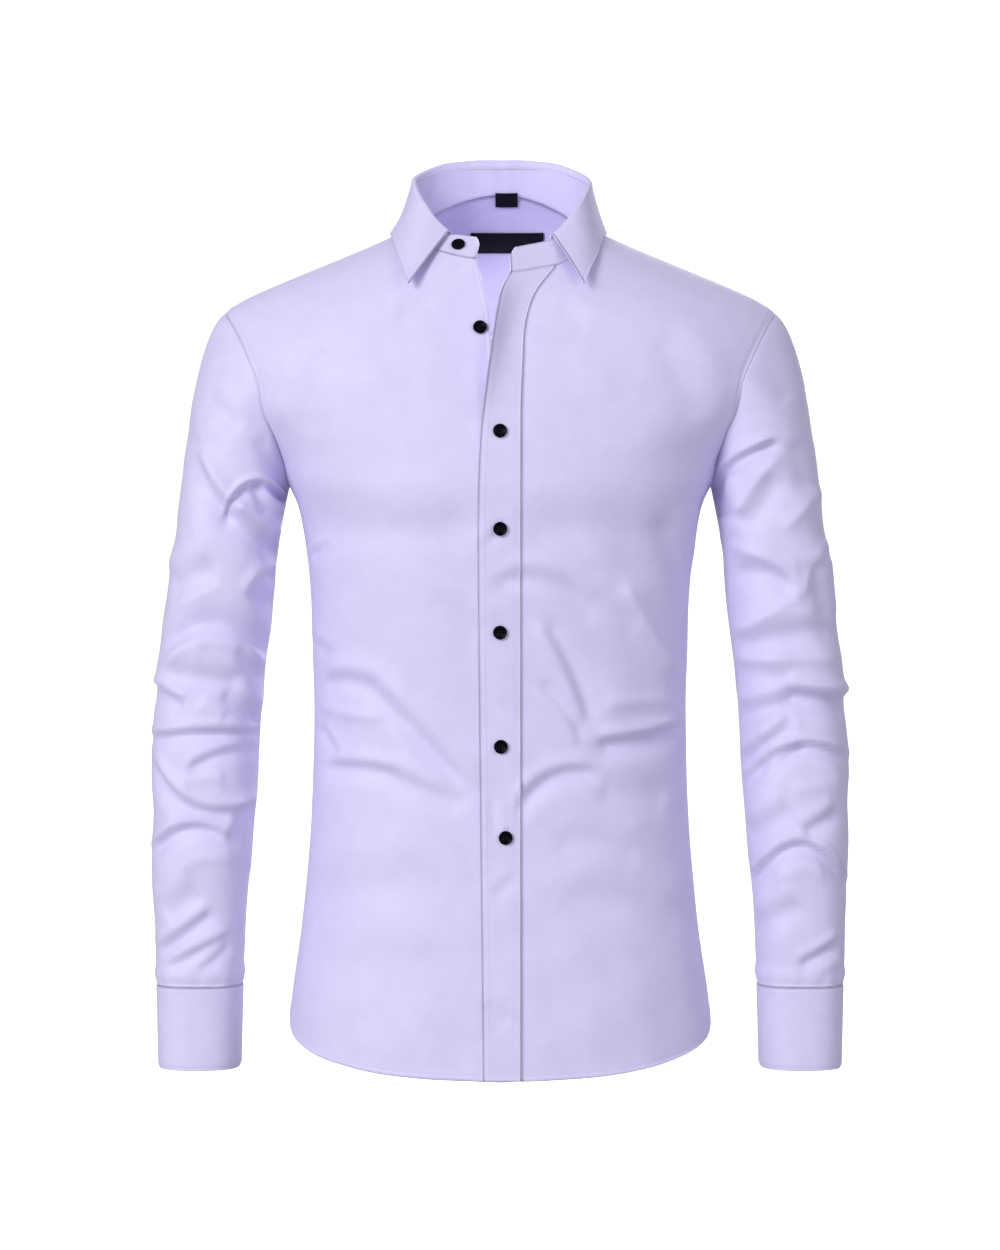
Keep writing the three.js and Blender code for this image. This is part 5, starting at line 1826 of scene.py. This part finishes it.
    def build(self, wardrobe: Wardrobe) -> None:
        """Make band and fall.

        Args:
            wardrobe: Materials to dress the pieces in.
        """
        cloth(
            self.band,
            "collar_band",
            wardrobe.stiff,
            STIFF_CLOTH,
            BAND_PROUD,
        )
        mesh = shell_mesh("cloth_collar_fall", self.fall_outer, self.fall_inner, False, self.fall.flipped)
        piece = place_mesh(mesh, wardrobe.stiff)
        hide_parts("collar_fall")
        area = self.fall.area()
        log.info("collar_fall: area %.4f", area)

    def sew(self, stitching: Stitching) -> None:
        """Sew round the fall and the band.

        Args:
            stitching: Stitches to add to.
        """
        for edge in (Edge.BOTTOM, Edge.START, Edge.END):
            stitching.sew(*self.fall.line(edge, COLLAR_STITCH))
        stitching.sew(*self.band.line(Edge.BOTTOM, 1.8))
        for edge in (Edge.START, Edge.END):
            stitching.sew(*self.band.line(edge, 4))
        points, normals = self.band.line(Edge.BOTTOM, 1.8)
        stitching.sew(points - normals * STIFF_CLOTH, -normals)

    def button_seat(self) -> tuple[Array, Array]:
        """Point and normal for the band's button.

        Returns:
            Point and normal.
        """
        bottom = self.pattern.neck_point(BAND_BUTTON_TURN)
        target = self.band_point(bottom, np.array(BAND_BUTTON_TURN), np.array(0.5))
        miss = np.linalg.norm(self.band.grid - target, axis=-1)
        j, i = np.unravel_index(np.argmin(miss), miss.shape)
        return self.band.grid[j, i], self.band.normals[j, i]


class Buttons:
    """Sewn buttons and the worked holes they go through."""

    def __init__(self, wardrobe: Wardrobe) -> None:
        """Make the shared button mesh."""
        self.wardrobe = wardrobe
        self.mesh = self.button_mesh()

    def button_mesh(self) -> bpy.types.Mesh:
        """Dished button with a rounded rim and four holes.

        Returns:
            The mesh, which every button copies.
        """
        radius, depth = BUTTON_RADIUS, BUTTON_DEPTH
        profile = [
            (0.0, 0.1),
            (0.6 * radius, 0.0),
            (0.88 * radius, 0.08 * depth),
            (0.97 * radius, 0.3 * depth),
            (radius, 0.55 * depth),
            (0.975 * radius, 0.8 * depth),
            (0.91 * radius, 0.96 * depth),
            (0.84 * radius, depth),
            (0.76 * radius, 0.97 * depth),
            (0.68 * radius, 0.84 * depth),
            (0.6 * radius, 0.74 * depth),
            (0.3 * radius, 0.7 * depth),
            (0.0, 0.69 * depth),
        ]
        count = 48
        turn = np.linspace(0, 2 * np.pi, count, endpoint=False)
        points = [(0.0, 0.0, profile[0][1])]
        for r, h in profile[1:-1]:
            points += [(r * math.cos(a), r * math.sin(a), h) for a in turn]
        points.append((0.0, 0.0, profile[-1][1]))
        faces: list[tuple[int, ...]] = []
        rings = len(profile) - 2
        for k in range(count):
            after = (k + 1) % count
            faces.append((0, 1 + after, 1 + k))
            for ring in range(rings - 1):
                low, high = 1 + ring * count, 1 + (ring + 1) * count
                faces.append((low + k, low + after, high + after, high + k))
            last = 1 + (rings - 1) * count
            faces.append((last + k, last + after, len(points) - 1))
        solid = bpy.data.meshes.new("button_solid")
        solid.from_pydata((np.array(points) * MM).tolist(), [], faces)
        body = bpy.data.objects.new("button_body", solid)
        bpy.context.scene.collection.objects.link(body)
        drills = []
        for x, y in ((1, 1), (1, -1), (-1, 1), (-1, -1)):
            drill = self.cylinder(HOLE_RADIUS, 8.0, (x * HOLE_OUT, y * HOLE_OUT, -2.0))
            cut = body.modifiers.new("hole", "BOOLEAN")
            cut.operation = "DIFFERENCE"
            cut.object = drill
            drills.append(drill)
        graph = bpy.context.evaluated_depsgraph_get()
        made = bpy.data.meshes.new_from_object(body.evaluated_get(graph))
        made.name = "button"
        for thing in [body, *drills]:
            bpy.data.objects.remove(thing)
        made.polygons.foreach_set("use_smooth", np.ones(len(made.polygons), bool))
        made.set_sharp_from_angle(angle=math.radians(50))
        return made

    @staticmethod
    def cylinder(radius: float, height: float, foot: tuple[float, float, float]) -> bpy.types.Object:
        """Upright cylinder that drills a hole.

        Args:
            radius: Radius of the hole.
            height: Height of the cylinder.
            foot: Middle of its lower end.

        Returns:
            The cylinder.
        """
        count = 14
        points, faces = [], []
        for level in (0.0, height):
            for k in range(count):
                angle = 2 * math.pi * k / count
                points.append((radius * math.cos(angle), radius * math.sin(angle), level))
        for k in range(count):
            after = (k + 1) % count
            faces.append((k, after, count + after, count + k))
        faces.append(tuple(range(count))[::-1])
        faces.append(tuple(range(count, 2 * count)))
        mesh = bpy.data.meshes.new("drill")
        mesh.from_pydata(((np.array(points) + np.array(foot)) * MM).tolist(), [], faces)
        drill = bpy.data.objects.new("drill", mesh)
        bpy.context.scene.collection.objects.link(drill)
        return drill

    @staticmethod
    def frame_of(normal: Array) -> tuple[Array, Array]:
        """Upright and sideways directions on the cloth."""
        up = unit(np.array([0, 0, 1.0]) - normal * normal[2])
        return up, np.cross(up, normal)

    def sew_on(self, node: str, seat: Array, normal: Array) -> None:
        """Place one button with its thread in place of its solid.

        Args:
            node: CAD node that it stands for.
            seat: Point on the cloth.
            normal: Normal of the cloth there.
        """
        up, side = self.frame_of(normal)
        matrix = np.eye(3)
        matrix[:, 0], matrix[:, 1], matrix[:, 2] = side, up, normal
        if np.linalg.det(matrix) < 0:
            matrix[:, 0] = -side
        mesh = self.mesh.copy()
        mesh.name = f"sewn_{node}"
        spots = np.empty(len(mesh.vertices) * 3)
        mesh.vertices.foreach_get("co", spots)
        foot = (seat + normal * BUTTON_LIFT) * MM
        moved = spots.reshape(-1, 3) @ matrix.T + foot
        mesh.vertices.foreach_set("co", moved.reshape(-1))
        mesh.update()
        piece = place_mesh(mesh, self.wardrobe.button)
        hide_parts(node)
        thread = Stitching(f"thread_{node}", pitch=0.9, reach=2.6, radius=0.34)
        for x in (-HOLE_OUT, HOLE_OUT):
            for offset in (-0.22, 0.22):
                ends = np.array([[x + offset, -1.35, 1.72], [x + offset, 0, 1.85], [x + offset, 2.2, 1.72]])
                line = ends @ matrix.T + seat + normal * BUTTON_LIFT
                thread.sew(line, np.repeat(normal[None], 3, axis=0))
        thread.build(self.wardrobe.satin, "button_plastic")

    def work_hole(self, name: str, seat: Array, normal: Array, tall: float = 14.0) -> Stitching:
        """Buttonhole: a slit with a close row of thread on both sides.

        Args:
            name: Name to give it.
            seat: Point on the cloth.
            normal: Normal of the cloth there.
            tall: Length of the hole.

        Returns:
            Stitches of the hole.
        """
        up, side = self.frame_of(normal)
        hole = Stitching(name, pitch=0.5, reach=1.3, radius=0.3)
        count = 27
        for sign in (-1, 1):
            for k in range(count):
                spot = seat + up * (tall * (k / (count - 1) - 0.5)) + side * sign * 0.25
                far = spot + side * sign * 1.7
                hole.sew(np.array([spot, (spot + far) / 2, far]), np.repeat(normal[None], 3, axis=0))
        return hole


class Labels:
    """Bare satin labels inside the back neck."""

    def __init__(self, form: BodyForm) -> None:
        """Keep the form."""
        self.form = form

    def build(self, node: str, spec: dict[str, float], finish: bpy.types.Material, depth: float) -> None:
        """Make one label on the inside of the yoke.

        Args:
            node: CAD node that it stands for.
            spec: Place and size of the label.
            finish: Material of the piece.
            depth: Distance in from the form.
        """
        x = np.linspace(spec["x"] - spec["width"] / 2, spec["x"] + spec["width"] / 2, 41)
        z = np.linspace(spec["top"] - spec["height"], spec["top"], 25)
        wide, tall = np.meshgrid(x, z)
        panel = Panel(self.form.at(wide, tall, Side.BACK), (0.0, SIDE_Y))
        edge = np.minimum(np.abs(wide - x[0]), np.abs(wide - x[-1]))
        curl = LABEL_CURL * np.exp(-((edge / 3) ** 2))
        near = panel.offset(-depth + curl)
        far = panel.offset(-depth - LABEL_CLOTH + curl)
        mesh = shell_mesh(f"satin_{node}", near, far, False, panel.flipped)
        piece = place_mesh(mesh, finish)
        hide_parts(node)


class Studio:
    """White floor and backdrop, soft lights and the camera."""

    CAMERA_DISTANCE = 3.1
    CAMERA_HEIGHT = -0.326
    FRAME_HEIGHT = 1.05
    SENSOR = 36.0
    SHADE = (0.94, 0.93, 1, 1)
    LIGHT_FROM_AROUND = 0.42
    BACKDROP = 1.4
    AIM = (0, 0, -0.33)
    LAMPS = (
        ("key", (-3.4, -4.4, 1.7), 2.6, 225.0),
        ("fill", (3.6, -4.2, 0.9), 2.6, 52.0),
        ("neck", (-0.01, -0.02, 0.0), 0.05, 0.26),
        ("rear", (0.4, 2.8, 0.6), 2.0, 34.0),
    )

    def build(self) -> None:
        """Set up the whole studio."""
        scene = bpy.context.scene
        scene.view_settings.view_transform = "Standard"
        self.floor()
        self.world(scene)
        self.lights()
        self.camera(scene)

    def floor(self) -> None:
        """Pale floor well below the shirt."""
        half, level = 14.0, -1.05
        mesh = bpy.data.meshes.new("floor")
        corners = [(-half, -half, level), (half, -half, level), (half, half, level), (-half, half, level)]
        mesh.from_pydata(corners, [], [(0, 1, 2, 3)])
        material, tree, shader = node_material("floor_white")
        shader.inputs["Base Color"].default_value = (1, 1, 1, 1)
        shader.inputs["Emission Color"].default_value = (1, 1, 1, 1)
        shader.inputs["Emission Strength"].default_value = 1.2
        mesh.materials.append(material)
        floor = bpy.data.objects.new("floor", mesh)
        bpy.context.scene.collection.objects.link(floor)
        floor.visible_diffuse = False
        floor.visible_glossy = False
        floor.visible_shadow = False

    def world(self, scene: bpy.types.Scene) -> None:
        """White surroundings, dimmer as a light than as a backdrop.

        Args:
            scene: Scene to set up.
        """
        world = bpy.data.worlds.new("studio")
        scene.world = world
        world.use_nodes = True
        tree = world.node_tree
        tree.nodes.clear()
        path = new_node(tree, "ShaderNodeLightPath")
        strength = new_node(tree, "ShaderNodeMapRange", in_To_Min=self.LIGHT_FROM_AROUND)
        strength.inputs["To Max"].default_value = self.BACKDROP
        tree.links.new(path.outputs["Is Camera Ray"], strength.inputs["Value"])
        shade = new_node(tree, "ShaderNodeBackground")
        shade.inputs["Color"].default_value = self.SHADE
        tree.links.new(strength.outputs["Result"], shade.inputs["Strength"])
        output = new_node(tree, "ShaderNodeOutputWorld")
        tree.links.new(shade.outputs["Background"], output.inputs["Surface"])

    def lights(self) -> None:
        """Large soft key from the viewer's left, a fill, one lamp in the neck and one behind."""
        for name, place, size, power in self.LAMPS:
            data = bpy.data.lights.new(name, "AREA")
            data.shape = "DISK"
            data.size = size
            data.energy = power
            lamp = bpy.data.objects.new(name, data)
            bpy.context.scene.collection.objects.link(lamp)
            lamp.location = place
            lamp.visible_camera = False
            target = np.array(self.AIM) - np.array(place)
            lamp.rotation_mode = "QUATERNION"
            lamp.rotation_quaternion = Vector(target).to_track_quat("-Z", "Y")

    def camera(self, scene: bpy.types.Scene) -> None:
        """Level camera straight in front.

        Args:
            scene: Scene to set up.
        """
        data = bpy.data.cameras.new("camera")
        data.sensor_width = self.SENSOR
        data.lens = self.SENSOR * self.CAMERA_DISTANCE / self.FRAME_HEIGHT
        camera = bpy.data.objects.new("camera", data)
        scene.collection.objects.link(camera)
        camera.location = (0, -self.CAMERA_DISTANCE, self.CAMERA_HEIGHT)
        camera.rotation_euler = (math.pi / 2, 0, 0)
        scene.camera = camera


def main() -> None:
    """Build the shirt piece by piece, then the studio."""
    logging.basicConfig(level=logging.INFO, format="%(message)s")
    wardrobe = Wardrobe.make()
    pattern = Pattern(BodyForm())
    body = Body(pattern)
    body.build(wardrobe)
    stitching = Stitching("stitching")
    body.sew(stitching)
    sleeves = [Sleeve(hand, body.rings[hand]) for hand in Hand]
    for sleeve in sleeves:
        sleeve.build(wardrobe)
        sleeve.sew(stitching)
    collar = Collar(body)
    collar.build(wardrobe)
    collar.sew(stitching)
    stitching.build(wardrobe.thread, "shirting")
    buttons = Buttons(wardrobe)
    buttons.sew_on("button_1", *collar.button_seat())
    seat, normal = body.seat(*OPEN_BUTTON, 0.2)
    buttons.sew_on("button_2", seat + np.array([0, FRONT_LAP_TUCK, 0]), normal)
    holes = []
    for i, (x, z) in enumerate(zip(PLACKET_BUTTONS["x"], PLACKET_BUTTONS["z"])):
        seat, normal = body.seat(x, z, PLACKET_PROUD)
        buttons.sew_on(f"button_{i + 3}", seat + normal * 0.3, normal)
        holes.append(buttons.work_hole("hole", seat + np.array([0, 0, 1.5]), normal))
    for sleeve in sleeves:
        buttons.sew_on(f"cuff_button_{sleeve.word}", *sleeve.button_seat())
    worked = Stitching("buttonholes")
    worked.parts = [part for hole in holes for part in hole.parts]
    worked.build(wardrobe.thread, "stiffened_shirting")
    labels = Labels(pattern.form)
    labels.build("neck_label", NECK_LABEL, wardrobe.satin, 2.4)
    labels.build("size_label", SIZE_LABEL, wardrobe.satin, 2.4)
    Studio().build()


if __name__ == "__main__":
    main()
